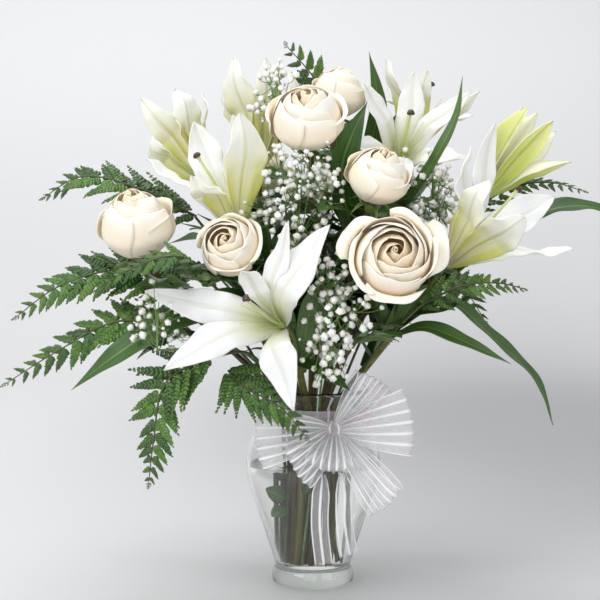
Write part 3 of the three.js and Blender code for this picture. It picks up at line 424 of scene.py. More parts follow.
def tube(body, path, radius, sides=8, zone=0.0, **look):
    """A round rod along paths, closed at both ends: path + radius (cos a X + sin a Y), where X
    and Y stand square to the path."""
    path = path.reshape(-1, *path.shape[-2:])
    run = unit(np.gradient(path, axis=1))
    aside = np.eye(3)[np.argmin(np.abs(run.mean(axis=1)), axis=-1)][:, None, :]
    x = unit(cross(aside, run))
    y = cross(run, x)
    radius = np.broadcast_to(np.squeeze(radius), path.shape[:2])[..., None, None]
    rim = path[:, :, None] + radius * spin(even(sides + 1, 0, TURN), x[:, :, None], y[:, :, None])
    first, last = (np.repeat(path[:, [end], None], sides + 1, axis=2) for end in (0, -1))
    if np.ndim(zone):
        zone = np.pad(zone, ((1, 1), (0, 0)), "edge")
    surface(body, np.concatenate([first, rim, last], axis=1), zone=zone, **look)


def revolve(body, outline, columns=96):
    """A turned body: radius (cos a, sin a) at each height of an outline from axis to axis."""
    radius, height = np.array(outline, float).T[..., None]
    a = even(columns + 1, 0, TURN)
    grid = np.stack([radius * cos(a), radius * sin(a), height + 0 * a], axis=-1)
    surface(body, grid)


def drop_of(middle, size, rows=10, columns=16, swell=0.0):
    """An egg: middle + size (cos a sin b, sin a sin b, -cos b), its sides swelling by the
    cosine of 7 b + sin a."""
    b = even(rows, 0, np.pi)[:, None]
    a = even(columns + 1, 0, TURN)
    wide = sin(b) * (1 + swell * cos(7 * b + sin(a)))
    return middle + vec(size) * np.stack([cos(a) * wide, sin(a) * wide, -cos(b) + 0 * a], -1)


# ---- Finishes ----

class Finish:
    """A material and a short way to write its nodes. u and v are the surface's own place, and
    side, tint and zone its mark. A plain finish reads neither."""

    def __init__(self, name, plain=False, **settings):
        self.material = bpy.data.materials.new(name)
        self.material.use_nodes = True
        self.tree = self.material.node_tree
        self.shader = self.tree.nodes["Principled BSDF"]
        for key, value in settings.items():
            self.set(key.replace("_", " ").title().replace("Ior", "IOR"), value)
        if not plain:
            place = self.node("UVMap", {"uv_map": "Surface"}).outputs[0]
            self.u, self.v, _ = self.node("SeparateXYZ", inputs={0: place}).outputs
            mark = self.node("Attribute", {"attribute_name": "mark"}).outputs["Vector"]
            self.side, self.tint, self.zone = self.node("SeparateXYZ", inputs={0: mark}).outputs

    def node(self, kind, settings=None, inputs=None):
        made = self.tree.nodes.new("ShaderNode" + kind)
        for key, value in (settings or {}).items():
            setattr(made, key, value)
        for key, value in (inputs or {}).items():
            self.put(made.inputs[key], value)
        return made

    def put(self, socket, value):
        if isinstance(value, bpy.types.NodeSocket):
            self.tree.links.new(value, socket)
        else:
            socket.default_value = value

    def set(self, key, value):
        self.put(self.shader.inputs[key], value)

    def math(self, operation, *values):
        made = self.node("Math", {"operation": operation})
        for socket, value in zip(made.inputs, values):
            self.put(socket, value)
        return made.outputs[0]

    def times(self, first, *others):
        for other in others:
            first = self.math("MULTIPLY", first, other)
        return first

    def off(self):
        """How far across a point is from the middle line, 0 to 0.5."""
        return self.math("ABSOLUTE", self.math("SUBTRACT", self.u, 0.5))

    def spread(self, value, low, high, first=0.0, last=1.0):
        """Maps low..high smoothly to first..last."""
        return self.node("MapRange", {"interpolation_type": "SMOOTHSTEP"}, {
            "Value": value, "From Min": low, "From Max": high, "To Min": first, "To Max": last,
        }).outputs[0]

    def mix(self, part, first, second):
        made = self.node("Mix", {"data_type": "RGBA"})
        for number, value in ((0, part), (6, first), (7, second)):
            self.put(made.inputs[number], (*value, 1) if isinstance(value, tuple) else value)
        return made.outputs[2]

    def paint(self, colour, *coats):
        """Sets the colour: a first one with coats of (part, colour) laid over it."""
        for part, coat in coats:
            colour = self.mix(part, colour, coat)
        self.set("Base Color", colour)

    def noise(self, place, scale, detail):
        return self.node("TexNoise", inputs={
            "Vector": place, "Scale": scale, "Detail": detail}).outputs[0]

    def stretched(self, across, along, detail=3.0):
        """Noise drawn out along the surface: across and along are its counts over u and v."""
        place = self.node("CombineXYZ", inputs={
            0: self.times(self.u, across), 1: self.times(self.v, along)})
        return self.noise(place.outputs[0], 1.0, detail)

    def cloudy(self, scale, detail=3.0):
        """Noise through the piece itself, scale per metre."""
        return self.noise(self.node("TexCoord").outputs["Object"], scale, detail)

    def bump(self, height, strength, distance=0.001):
        self.set("Normal", self.node("Bump", inputs={
            "Height": height, "Strength": strength, "Distance": distance}).outputs[0])


def lily_finish(name, inside, outside, green, reach, strength):
    """White tepals, green towards the base and along the midrib, more so outside, with fine
    ribs along them."""
    f = Finish(name, roughness=0.4, subsurface_weight=0.35, subsurface_scale=0.006,
               subsurface_radius=(1, 0.95, 0.7), sheen_weight=0.1, specular_ior_level=0.4)
    off = f.off()
    wide = f.math("ADD", 0.09, f.times(f.zone, 0.10))
    band = f.math("SUBTRACT", 1.0, f.math("MINIMUM", f.math("DIVIDE", off, wide), 1.0))
    rib = f.times(f.spread(band, 0.0, 0.75), f.spread(f.v, 0.25, reach, 1, 0.1),
                  f.spread(f.side, 0, 1, strength, 0.32))
    inner_foot = f.times(f.side, f.spread(f.v, 0.26, 0.66, 1, 0),
                         f.spread(off, 0.1, 0.42, 0.6, 0.18))
    outer_foot = f.times(f.math("SUBTRACT", 1.0, f.side), f.spread(f.v, 0.40, 0.88, 1, 0),
                         f.spread(off, 0.12, 0.45, 0.55, 1.0))
    fibre = f.stretched(60, 3)
    green_part = f.times(f.math("MAXIMUM", rib, f.math("ADD", inner_foot, outer_foot)),
                         f.spread(fibre, 0.25, 0.7, 0.8, 1.0))
    f.paint(outside, (f.side, inside), (f.times(f.cloudy(60), 0.18), (0.82, 0.83, 0.76)),
            (green_part, green))
    f.bump(fibre, 0.3, 0.0006)
    f.set("Roughness", f.spread(fibre, 0.2, 0.8, 0.34, 0.48))
    return f.material


def rose_finish():
    """Cream petals: peach towards the heart, paler at the rim, greenish on the outermost, with
    faint veins that fan out along them."""
    f = Finish("rose_petal", roughness=0.5, subsurface_weight=0.25, subsurface_scale=0.003,
               subsurface_radius=(1, 0.82, 0.6), sheen_weight=0.2, sheen_roughness=0.4,
               specular_ior_level=0.3)
    rim = f.spread(f.v, 0.66, 0.98)
    cream = f.mix(rim, (0.985, 0.845, 0.65), (0.99, 0.94, 0.83))
    heart = f.mix(rim, (0.99, 0.70, 0.38), (0.99, 0.85, 0.62))
    edge, foot = f.spread(f.off(), 0.3, 0.5), f.spread(f.v, 0.3, 0.65, 1, 0)
    outer = f.times(f.spread(f.zone, 0, 0.16, 1, 0), f.math("MAXIMUM", edge, foot),
                    f.spread(f.tint, 0.2, 0.9, 0.15, 0.75))
    vein = f.stretched(40, 3)
    f.paint(cream, (f.spread(f.zone, 0.3, 1.0), heart), (outer, (0.78, 0.82, 0.48)),
            (f.spread(vein, 0.45, 0.8, 0, 0.14), (0.93, 0.84, 0.68)))
    f.bump(f.math("ADD", vein, f.cloudy(260)), 0.15, 0.0006)
    return f.material


def leaf_finish():
    """Long leaves: parallel veins, a pale midrib, two greens, paler beneath, waxy."""
    f = Finish("lily_leaf", roughness=0.4, subsurface_weight=0.05, subsurface_scale=0.002,
               specular_ior_level=0.5, coat_weight=0.06)
    vein = f.stretched(26, 0.8, 1.5)
    f.paint((0.011, 0.060, 0.006),
            (f.spread(vein, 0.3, 0.7), (0.040, 0.140, 0.012)),
            (f.times(f.tint, 0.6), (0.12, 0.21, 0.05)),
            (f.spread(f.off(), 0.015, 0.05, 0.6, 0), (0.20, 0.32, 0.08)),
            (f.spread(f.side, 0, 1, 0.35, 0), (0.20, 0.30, 0.13)),
            (f.spread(f.cloudy(45), 0.45, 0.75, 0, 0.4), (0.02, 0.06, 0.012)))
    f.bump(vein, 0.5, 0.0008)
    f.set("Roughness", f.spread(vein, 0.2, 0.8, 0.36, 0.52))
    return f.material


def fern_finish(name, dark, light):
    """Leathery green blades with slanting veins, paler beneath; older ones darker."""
    f = Finish(name, roughness=0.36, specular_ior_level=0.45, coat_weight=0.08)
    off = f.off()
    slant = f.math("SUBTRACT", f.times(f.v, 30), f.times(off, 22))
    vein = f.math("ADD", f.times(f.math("SINE", slant), 0.5), 0.5)
    pale = tuple(1.5 * c + 0.03 for c in light)
    f.paint(dark,
            (f.spread(f.tint, 0, 1), light),
            (f.spread(f.cloudy(90), 0.4, 0.7, 0, 0.6), dark),
            (f.spread(off, 0.02, 0.09, 0.5, 0), pale),
            (f.spread(vein, 0.7, 1, 0, 0.25), pale),
            (f.spread(f.side, 0, 1, 0.4, 0), (0.15, 0.25, 0.08)),
            (f.zone, (0.06, 0.08, 0.02)))
    f.bump(vein, 0.3, 0.0004)
    return f.material


def stem_finish(name, light, dark):
    """Stems: ridged along their length, with brown blotches, and fresh green where zone is 1."""
    f = Finish(name, roughness=0.42, specular_ior_level=0.5)
    ridge = f.stretched(9, 14)
    f.paint(dark,
            (f.spread(ridge, 0.3, 0.7), light),
            (f.spread(f.cloudy(140), 0.5, 0.75, 0, 0.5), (0.10, 0.075, 0.03)),
            (f.times(f.zone, 0.8), (0.16, 0.26, 0.06)))
    f.bump(ridge, 0.4, 0.0007)
    return f.material


def pistil_finish():
    """Pale green style and filaments with a dark red-brown sticky stigma."""
    f = Finish("lily_pistil", roughness=0.35, coat_weight=0.3)
    f.paint((0.42, 0.52, 0.12),
            (f.spread(f.v, 0.1, 0.8), (0.66, 0.72, 0.34)),
            (f.times(f.stretched(8, 20), 0.5), (0.46, 0.52, 0.18)),
            (f.zone, (0.055, 0.018, 0.016)))
    f.bump(f.cloudy(900), 0.3, 0.0004)
    return f.material


def floret_finish():
    """Chalk-white florets with a creamy heart and a green cup."""
    f = Finish("babys_breath", roughness=0.6, subsurface_weight=0.2, subsurface_scale=0.002,
               sheen_weight=0.2)
    ruffle = f.stretched(20, 3)
    f.paint((0.97, 0.97, 0.94),
            (f.times(f.tint, 0.5), (0.90, 0.89, 0.76)),
            (f.spread(ruffle, 0.45, 0.8, 0, 0.2), (0.82, 0.83, 0.74)),
            (f.zone, (0.22, 0.33, 0.10)))
    f.bump(ruffle, 0.4, 0.0006)
    return f.material


def twig_finish():
    """Thin green branching stems with paler patches."""
    f = Finish("babys_breath_twig", roughness=0.5)
    f.paint((0.10, 0.19, 0.05), (f.spread(f.cloudy(120), 0.35, 0.7), (0.20, 0.31, 0.10)))
    f.bump(f.stretched(5, 30), 0.3, 0.0003)
    return f.material


RIBBON_PITCH = 8.4  # from one satin stripe to the next
RIBBON_STRIPE = 2.4  # width of a satin stripe


def ribbon_finish(name, width):
    """Sheer organza with satin stripes along it and satin edges; the sheer part is a fine
    plain weave, and the whole shifts from silver to mauve."""
    f = Finish(name, roughness=0.32, sheen_weight=0.6, sheen_roughness=0.3, coat_weight=0.15)
    near = f.math("PINGPONG", f.times(f.u, float(round(width / RIBBON_PITCH))), 0.5)
    half = 0.5 * RIBBON_STRIPE / RIBBON_PITCH
    satin = f.spread(near, half * 0.5, half * 1.5, 1, 0)
    weave = f.times(f.math("SINE", f.times(f.u, width * 14.0)), f.math("SINE", f.times(f.v, 900.0)))
    f.paint((0.86, 0.88, 0.89),
            (f.spread(f.cloudy(38, 1.0), 0.48, 0.70), (0.89, 0.76, 0.85)),
            (satin, (0.95, 0.95, 0.96)))
    solid = f.math("ADD", f.math("ADD", 0.17, f.times(weave, 0.04)), f.times(f.zone, 0.25))
    f.set("Alpha", f.math("MINIMUM", f.math("MAXIMUM", solid, f.times(satin, 0.85)), 0.97))
    f.bump(f.math("ADD", f.times(weave, 0.15), satin), 0.4, 0.0005)
    f.set("Roughness", f.spread(satin, 0, 1, 0.38, 0.24))
    return f.material


SHADE = 0.9  # part of the light on a clear surface that goes on through it


def clear_finish(name, colour, index, dense=0.0):
    """A clear solid that bends light for the eye and lets lamps through as if it weren't there."""
    f = Finish(name, plain=True, roughness=0.0, transmission_weight=1.0, specular_ior_level=0.5,
               ior=index)
    f.paint(colour, (f.spread(f.cloudy(14, 1.0), 0.3, 0.7), tuple(0.985 * c for c in colour)))
    f.bump(f.cloudy(22, 1.0), 0.05)
    clear = f.node("BsdfTransparent", inputs={0: (*(SHADE * c for c in colour), 1)}).outputs[0]
    path = f.node("LightPath")
    either = f.math("MAXIMUM", path.outputs["Is Shadow Ray"], path.outputs["Is Diffuse Ray"])
    blend = f.node("MixShader", inputs={0: either, 1: f.shader.outputs[0], 2: clear})
    output = f.tree.nodes["Material Output"]
    f.put(output.inputs["Surface"], blend.outputs[0])
    if dense:
        murk = f.node("VolumeAbsorption", inputs={"Color": (0.76, 0.78, 0.76, 1), "Density": dense})
        f.put(output.inputs["Volume"], murk.outputs[0])
    return f.material


LILY = lily_finish("lily_petal", (0.91, 0.91, 0.88), (0.90, 0.90, 0.80), (0.54, 0.53, 0.045),
                   reach=1.05, strength=1.0)
BUD = lily_finish("lily_bud", (0.88, 0.88, 0.60), (0.80, 0.80, 0.30), (0.46, 0.55, 0.08),
                  reach=1.4, strength=0.95)
ROSE = rose_finish()
LEAF = leaf_finish()
FERN = fern_finish("fern", (0.014, 0.058, 0.009), (0.095, 0.205, 0.026))
ROSE_LEAF = fern_finish("rose_leaf", (0.012, 0.046, 0.007), (0.055, 0.135, 0.018))
ROSE_STEM = stem_finish("rose_stem", (0.130, 0.092, 0.012), (0.034, 0.022, 0.004))
LILY_STEM = stem_finish("lily_stem", (0.200, 0.190, 0.020), (0.062, 0.060, 0.008))
PISTIL = pistil_finish()
FLORET = floret_finish()
TWIG = twig_finish()
GLASS = clear_finish("glass", (0.985, 0.985, 0.98), index=1.48, dense=30.0)
WATER = clear_finish("water", (0.985, 0.985, 0.96), index=1.33)


# ---- Vase and water ----

def outline(points, rows):
    """A smooth line through (radius, height)."""
    return Curve([(r, 0, z) for r, z in points]).at(even(rows))[:, [0, 2]]


def vase():
    """Turned glass: smooth lines through the outside and the inside, a rounded lip and a thick
    foot with a rounded edge."""
    foot = [(0, 0.6), (30, 0.6), (34, 0), (38.4, 0), (40.2, 0.9), (41, 3), (41.2, 7), (40.7, 11),
            (39, 14.6)]
    lip = [(55.8, 197), (54.9, 197.5), (53.9, 197.2)]
    floor = [(30, 17.4), (20, 16.4), (0, VASE_FLOOR)]
    body = Body()
    revolve(body, [*foot, *outline(VASE_OUTSIDE, 72), *lip, *outline(VASE_INSIDE, 72), *floor])
    body.write("vase_glass", "vase", "glass", GLASS)


def water():
    """The inside line up to the level, a hair's breadth in, with a small rise at the wall."""
    inner = outline(VASE_INSIDE, 160)[::-1]
    wall = inner[inner[:, 1] < WATER_LEVEL] - [1.2 * CLEAR, 0]
    top, level, bottom = wall[-1, 0] + 0.1, WATER_LEVEL - 1.2, VASE_FLOOR + CLEAR
    body = Body()
    revolve(body, [(0, bottom), (20, bottom + 0.4), (30, 17.9), *wall, (top, WATER_LEVEL),
                   (top - 2, WATER_LEVEL - 0.8), (top - 5, level), (0, level)])
    body.write("vase_water", "water", "water", WATER)


# ---- Stems ----

def sheaf_point(slot, height):
    """Where a stem of the sheaf is at a height: all turn round the middle together."""
    angle, distance = slot
    part = (height - SHEAF_LOW) / (SHEAF_NECK - SHEAF_LOW)
    low = ring(angle - SHEAF_TWIST) * distance * LOW_SPREAD
    high = ring(angle) * distance * NECK_SPREAD
    return lerp(low, high, part) + [0, 0, height]


def climb(slot, path, steps=36):
    """A stem's line: straight from the cut end to the neck, then a curve through path."""
    curve = Curve([sheaf_point(slot, SHEAF_NECK), *path])
    low = [sheaf_point(slot, z) for z in even(9, SHEAF_LOW, SHEAF_NECK)[:-1]]
    return np.vstack([low, curve.at(even(steps))])


ROSE_DEPTH = 0.62  # of the hip below a bloom's centre, in parts of its radius
STEM_RADIUS = 2.9
ROSE_NECK_SUNK, ROSE_NECK_STRAIGHT, ROSE_NECK_PULL, ROSE_NECK_HEIGHT = 9, 46, 0.25, 240
HIP = np.array([(0, -16), (2.9, -14), (4.4, -10.5), (4.9, -7), (4.4, -3.4), (0, -2.6)])
SEPALS, SEPAL_LENGTH, SEPAL_HALF, SEPAL_THICK = 5, 20, 3.4, 0.6
# Leaflets left on a stem under water: where they start, where they point, length and tint.
WET_LEAVES = {"left": [
    ((-20, -16, 92), (-0.9, -0.2, 0.42), 24, 0.6), ((-21, -16, 84), (-0.85, -0.3, -0.5), 20, 0.8),
    ((-20, -15, 112), (-0.8, -0.35, 0.3), 17, 0.1), ((-8, -26, 98), (0.5, -0.4, 0.75), 15, 0.2),
]}
WET_FACE = (-0.3, -1.0, 0.3)


def rose_stem(name, centre, facing, radius, _, slot):
    """The stem's tube, the hip as a turned drop, and five sepals: narrow blades that curve out
    and down from the hip."""
    axis, right, up = frame_of(facing)
    top = vec(centre) - (ROSE_DEPTH * radius + 1.1) * axis
    middle = sheaf_point(slot, ROSE_NECK_HEIGHT)
    bend = lerp(top - ROSE_NECK_STRAIGHT * axis, middle, ROSE_NECK_PULL)
    stem = climb(slot, [bend, top - ROSE_NECK_SUNK * axis])
    body = Body()
    tube(body, stem, STEM_RADIUS * (1 + 0.04 * sin(np.arange(len(stem)) * 1.7)), 12)
    wide, high = HIP.T[..., None]
    surface(body, around(top, (axis, right, up), high, wide, even(17, 0, TURN)), zone=1.0)
    t, u = column(12), even(7, -1, 1)
    half = SEPAL_HALF * (1 - t) ** 0.7 * (0.7 + 0.3 * sin(np.pi * t))
    for k in range(SEPALS):
        out = spin(TURN * k / SEPALS, right, up)
        rise = -4.5 - 7.5 * t ** 1.6 + 3 * sin(3 * t)
        line = top + (3 + SEPAL_LENGTH * t) * out + rise * axis
        grid = blade(line, half * u, cross(axis, out), 0.9 * half * u ** 2, axis)
        shell(body, grid[:, ::-1], SEPAL_THICK, zone=0.8)
    rose_leaves(body, stem, slot[0])
    for spot, run, length, tint in WET_LEAVES.get(name, []):
        grid = leaflet(vec(spot), unit(vec(run)), unit(vec(WET_FACE)), length, tint)
        shell(body, grid, LEAFLET_THICK, tint=tint, finish=1)
    body.write(f"rose_{name}_stem_green", f"rose_{name}_stem", "rose_stem", ROSE_STEM, ROSE_LEAF)


LEAFLET_PLACES = [  # along the rib, and side
    (0.42, 1), (0.42, -1), (0.72, 1), (0.72, -1), (1.0, 0)]
LEAFLET_ROWS, LEAFLET_THICK = 20, 0.45
ROSE_LEAF_STEP = 18  # of stem to each leaf tried
ROSE_LEAF_REACHES = (62, 48, 36)  # tried in turn
ROSE_LEAF_LOWEST = 225
BLOOM_GAP = 6.5  # from a bloom's points to a leaf's
CLOSE_BY = 110  # blooms further away than this can't be touched


def clear_of_blooms(points):
    """True where no point lies within the gap of a bloom."""
    near = blooms[np.all(np.abs(blooms - points.reshape(-1, 3).mean(axis=0)) < CLOSE_BY, axis=1)]
    away = points.reshape(-1, 1, 3) - near
    return len(near) == 0 or (away ** 2).sum(axis=-1).min() > BLOOM_GAP ** 2


def leaflet(base, run, face, length, tint):
    """A toothed oval blade: half its width is the root of a sine, every other row wider; it
    folds up along its midrib and droops with the square of its length."""
    t, u = column(LEAFLET_ROWS), even(7, -1, 1)
    teeth = 1 + 0.07 * (np.arange(LEAFLET_ROWS)[:, None] % 2)
    half = 0.34 * length * sin(np.pi * t ** 0.8) ** 0.8 * teeth
    lift = half * 0.3 * np.abs(u) + 0.03 * length * sin(9 * t + 5 * tint + 2 * u) * u ** 2
    line = base + length * (t * run - 0.22 * t ** 2 * face)
    return blade(line, half * u, unit(cross(run, face)), lift, face)


def rose_leaves(body, line, start):
    """Compound leaves up a stem, each turned on by the golden angle: a rib that arches out and
    up, with two pairs of leaflets and one at its tip, where there is room among the blooms."""
    line = line[line[:, 2] > ROSE_LEAF_LOWEST][:-4]
    luck = np.random.default_rng(int(start))
    count = round(length_of(line) / ROSE_LEAF_STEP)
    s = column(10)
    for k in range(count):
        at = line[int((k + 0.5) / count * len(line))]
        out = ring(start + k * GOLDEN)
        face = unit(np.array([0, 0, 1.0]) - 0.5 * out)
        across = unit(cross(out, face))
        for reach in ROSE_LEAF_REACHES:
            rib = at + reach * (s * out + [0, 0, 1] * (0.75 * s - 0.35 * s ** 2))
            way = unit(np.gradient(rib, axis=0))
            blades = []
            for place, hand in LEAFLET_PLACES:
                spot = int(place * 9)
                run = unit(0.75 * way[spot] + hand * across + 0.15 * luck.normal(size=3))
                size = reach * (0.62 if hand == 0 else 0.5) * luck.uniform(0.85, 1.1)
                base = rib[spot] + 1.5 * hand * across
                blades.append(leaflet(base, run, face, size, luck.uniform()))
            if clear_of_blooms(np.array(blades)[:, 1::4, ::3]):
                tube(body, rib, 0.7, 6, tint=0.5, zone=0.9)
                for grid in blades:
                    shell(body, grid, LEAFLET_THICK, tint=luck.uniform(), finish=1)
                break


# ---- Roses ----

# Petals follow each other by the golden angle from the outermost, place 0, to the heart, place
# 1. Each pair holds a closed bloom's values and an open one's, in parts of its radius.
PETAL_COUNT = (13, 24)
PETAL_PLACES = (0, 0.14, 0.26, 0.5, 0.75, 1)
RIM_RADIUS = ((0.76, 0.54, 0.42, 0.30, 0.18, 0.07), (0.94, 0.84, 0.62, 0.45, 0.27, 0.08))
RIM_HEIGHT = ((1.14, 1.36, 1.48, 1.64, 1.74, 1.79), (0.80, 0.98, 1.14, 1.21, 1.23, 1.20))
RIM_ROLL = ((0.16, 0.08, 0.05, 0.03, 0.02, 0.01), (0.30, 0.20, 0.07, 0.03, 0.02, 0.01))
HALF_WIDTH = ((60, 66, 74, 86, 104, 130), (40, 46, 54, 62, 80, 110))  # degrees
BELLY_RADIUS = ((0.88, 0.86, 0.84, 0.76, 0.60, 0.34), (0.80, 0.78, 0.76, 0.68, 0.52, 0.28))
BELLY_HEIGHT = ((0.62, 0.69, 0.72, 0.80, 0.92, 1.04), (0.46, 0.52, 0.56, 0.60, 0.66, 0.70))
PETAL_KEYS = (0, 0.2, 0.5, 0.8, 1, 1.05)
PETAL_ROWS, PETAL_COLUMNS, PETAL_THICK = 30, 25, 0.45
HEART_TURNS, HEART_THICK = 1.7, 0.5
GUARD_PETALS = 8  # the outer ones, which leaves keep clear of
OVERLAP = 0.12  # how far the outermost petal stands out over the ones inside it
bloom_points = []


def rose_bloom(name, centre, facing, radius, open_, _):
    """Petals one after another by the golden angle. A petal is a line from the hip out to its
    belly and in to its rim, turned about the axis by u times its half width; its rim drops
    towards its sides from a soft point, rolls outwards and waves."""
    axes = frame_of(facing)
    foot = vec(centre) - ROSE_DEPTH * radius * axes[0]
    luck = luck_of(name)
    body = Body()
    u = even(PETAL_COLUMNS, -1, 1)
    count = round(lerp(*PETAL_COUNT, open_))
    for k in range(count):
        place = k / (count - 1)
        rim_r, rim_h, roll, wide, belly_r, belly_h = (
            lerp(*(flow(PETAL_PLACES, side, np.array(place)) for side in pair), open_)
            for pair in (RIM_RADIUS, RIM_HEIGHT, RIM_ROLL, HALF_WIDTH, BELLY_RADIUS, BELLY_HEIGHT))
        shift, rim_r_by, wide_by, peak, phase, dip_phase, tint, rim_h_by, ruffle_phase = (
            luck.uniform(-1, 1, 9))
        rim_r = rim_r * (1 + 0.10 * rim_r_by)
        rim_h = rim_h + 0.03 * rim_h_by
        wide = math.radians(wide * (1 + 0.10 * wide_by))
        peak = 0.3 * peak
        point = 0.06 * (1 - place) * exp(-((u - peak) / 0.14) ** 2)
        fall = (0.15 + 0.12 * place) * np.abs(u - peak) ** 2.3
        v = column(PETAL_ROWS) * (0.97 + point - fall)
        bend_r, bend_h = lerp(belly_r, rim_r, 0.42), lerp(belly_h, rim_h, 0.66)
        line_r = flow(PETAL_KEYS, [0.03, 0.55 * belly_r, belly_r, bend_r, rim_r, rim_r - 0.02], v)
        line_h = flow(PETAL_KEYS, [0.0, 0.12, belly_h, bend_h, rim_h, rim_h + 0.03], v)
        above = OVERLAP * (1 - place)
        line_r = line_r + above * (0.4 + 0.6 * line_r) * step_up(v, 0.1, 0.5)
        line_h = line_h + 0.4 * above * step_up(v, 0.5, 0.9)
        curl = roll * step_up(v, 0.74, 1.0) ** 1.5 * (0.5 + 0.7 * np.abs(u) ** 1.5)
        wave = sin(3.1 * u + 5 * phase) + 0.5 * sin(7.3 * u + 4 * ruffle_phase)
        reach = line_r + 0.10 * u * (0.2 + 0.8 * v) + curl + 0.022 * wave * v ** 2
        height = line_h - 0.6 * curl + 0.02 * sin(4.1 * u + 4 * dip_phase) * v ** 3
        angle = (math.radians(k * GOLDEN + 14 * shift)
                 + wide * u * (0.45 + 0.55 * sin(0.5 * np.pi * clip(v * 1.25, 0, 1))))
        grid = around(foot, axes, height * radius, reach * radius, angle)
        shell(body, grid, PETAL_THICK, tint=0.5 + 0.5 * tint, zone=place)
        if k < GUARD_PETALS:
            bloom_points.append(grid[::4, ::4].reshape(-1, 3))
    # The heart: one petal rolled up, its radius growing with its turn.
    s, v = even(64), column(8)
    reach = (0.012 + 0.085 * s) * (1.2 - 0.4 * v)
    peak = lerp(RIM_HEIGHT[0][-1], RIM_HEIGHT[1][-1], open_)
    height = lerp(0.75, peak + 0.02, v) + 0.02 * sin(9 * s) * v - 0.05 * s * v
    grid = around(foot, axes, height * radius, reach * radius, TURN * HEART_TURNS * s)
    shell(body, grid, HEART_THICK, tint=0.5, zone=1.0)
    body.write(f"rose_{name}_petals", f"rose_{name}_bloom", "rose_petal", ROSE)


# ---- Lilies ----

OPEN_FUNNEL, BUD_FUNNEL = (34, 13.5, 24), (38, 11.5, 4)  # height, radius, and its slope in degrees
FUNNEL_PART = 0.3  # of a tepal's length
WHORL_GAP, TEPAL_CUP = 2.4, 0.14
# How hollow a tepal is along it, in cups: its margins roll back towards the tip of an open one.
OPEN_BOWL, BUD_BOWL = (1.5, 1.9, 0.9, -0.5, -1.6), (1.5, 3.2, 3.6, 3.2, 1.5)
NARROW, WAIST = 32, 24  # a tepal below this width is narrow, and none is wider here at its waist
TEPAL_ROWS, TEPAL_COLUMNS, TEPAL_THICK = 46, 21, 0.9


def lily_bloom(name, base, direction, _, tepals):
    """Six tepals. A tepal's midrib rises in the funnel and follows a quadratic curve to its
    tip; across it the edges rise by the cup times u^2, a groove runs along the midrib, and the
    margins wave more towards the tip."""
    axis, right, up = frame_of(direction)
    bud = name == "right_bud"
    high, wide, leave = BUD_FUNNEL if bud else OPEN_FUNNEL
    origin = vec(base)
    luck = luck_of(name, 500)
    body = Body()
    t, u = column(TEPAL_ROWS), even(TEPAL_COLUMNS, -1, 1)
    inner = clip(t / FUNNEL_PART, 0, 1)
    s = clip((t - FUNNEL_PART) / (1 - FUNNEL_PART), 0, 1)
    groove = exp(-((np.abs(u) - 0.13) / 0.07) ** 2) - 1.1 * exp(-(u / 0.07) ** 2)
    groove = 1.1 * groove * sin(np.pi * clip(t, 0, 0.97)) ** 0.5
    arch = 1.2 * sin(np.pi * clip((t - 0.55) / 0.45, 0, 1)) - 1.3 * step_up(t, 0.84, 1)
    bowl = flow([0, 0.3, 0.55, 0.8, 1], BUD_BOWL if bud else OPEN_BOWL, t)
    for k, (degrees, opening, reach, width) in enumerate(tepals):
        out = spin(math.radians(degrees), right, up)
        sideways = cross(axis, out)
        tip = origin + reach * spin(math.radians(opening), axis, out)
        start = origin + high * axis + wide * out
        elbow = start + 0.5 * np.linalg.norm(tip - start) * spin(math.radians(leave), axis, out)
        funnel = (origin + flow([0, 0.25, 1], [0, 0.3 * high, high], inner) * axis
                  + flow([0, 0.25, 1], [0.6, 5.4, wide], inner) * out)
        line = np.where(t < FUNNEL_PART, funnel, bezier(start, elbow, tip, s))
        inward = -cross(unit(np.gradient(line, axis=0)), sideways)
        layer = WHORL_GAP * (0.5 if k % 2 else -0.5)
        layer = layer * step_up(t, 0.05, 0.5) * (1 - step_up(t, 0.9, 1))
        curl = 0 if bud else 5.0 * luck.uniform(0.6, 1.2)
        sway = (0 if bud else 1.6) * sin(TURN * t + luck.uniform(0, 6.3)) * step_up(t, 0.3, 0.6)
        line = line + (layer + curl * arch) * inward + sway * sideways
        waist = min(0.8, WAIST / width)
        half = width / 2 * flow([0, 0.1, FUNNEL_PART, 0.5, 0.69, 0.874, 0.95, 1],
                                [0.05, 0.34, waist, 0.94, 1.0, 0.62, 0.31, 0.015], t)
        phase = luck.uniform(0, 6.3, 3)
        narrow = width < NARROW
        frill = 2.6 * (0.6 if narrow else 1.0) * (0.15 if bud else 1.0)
        wave = (sin(TURN * 2.3 * t + phase[0] + 1.6 * u)
                + 0.5 * sin(TURN * 5.1 * t + phase[1] - u)) * np.abs(u) ** 2.4
        wave = frill * wave * step_up(t, 0.35, 0.6) * (1 - 0.6 * step_up(t, 0.9, 1))
        cup = 2 * TEPAL_CUP * half * bowl * np.abs(u) ** 1.7
        grid = blade(line, half * u, sideways, cup + wave + groove, inward)
        shell(body, grid[:, ::-1], TEPAL_THICK, tint=luck.uniform(), zone=float(narrow))
        bloom_points.append(grid[::3, ::4].reshape(-1, 3))
    finish, slot = (BUD, "lily_bud") if bud else (LILY, "lily_petal")
    body.write(f"lily_{name}_tepals", f"lily_{name}_bloom", slot, finish)


STYLE_LEAN = {"left_front": (-0.25, -0.09)}  # to the right and up, in parts of its length
FILAMENTS, FILAMENT_LENGTH, FILAMENT_OPENING = 6, 60, math.radians(15)


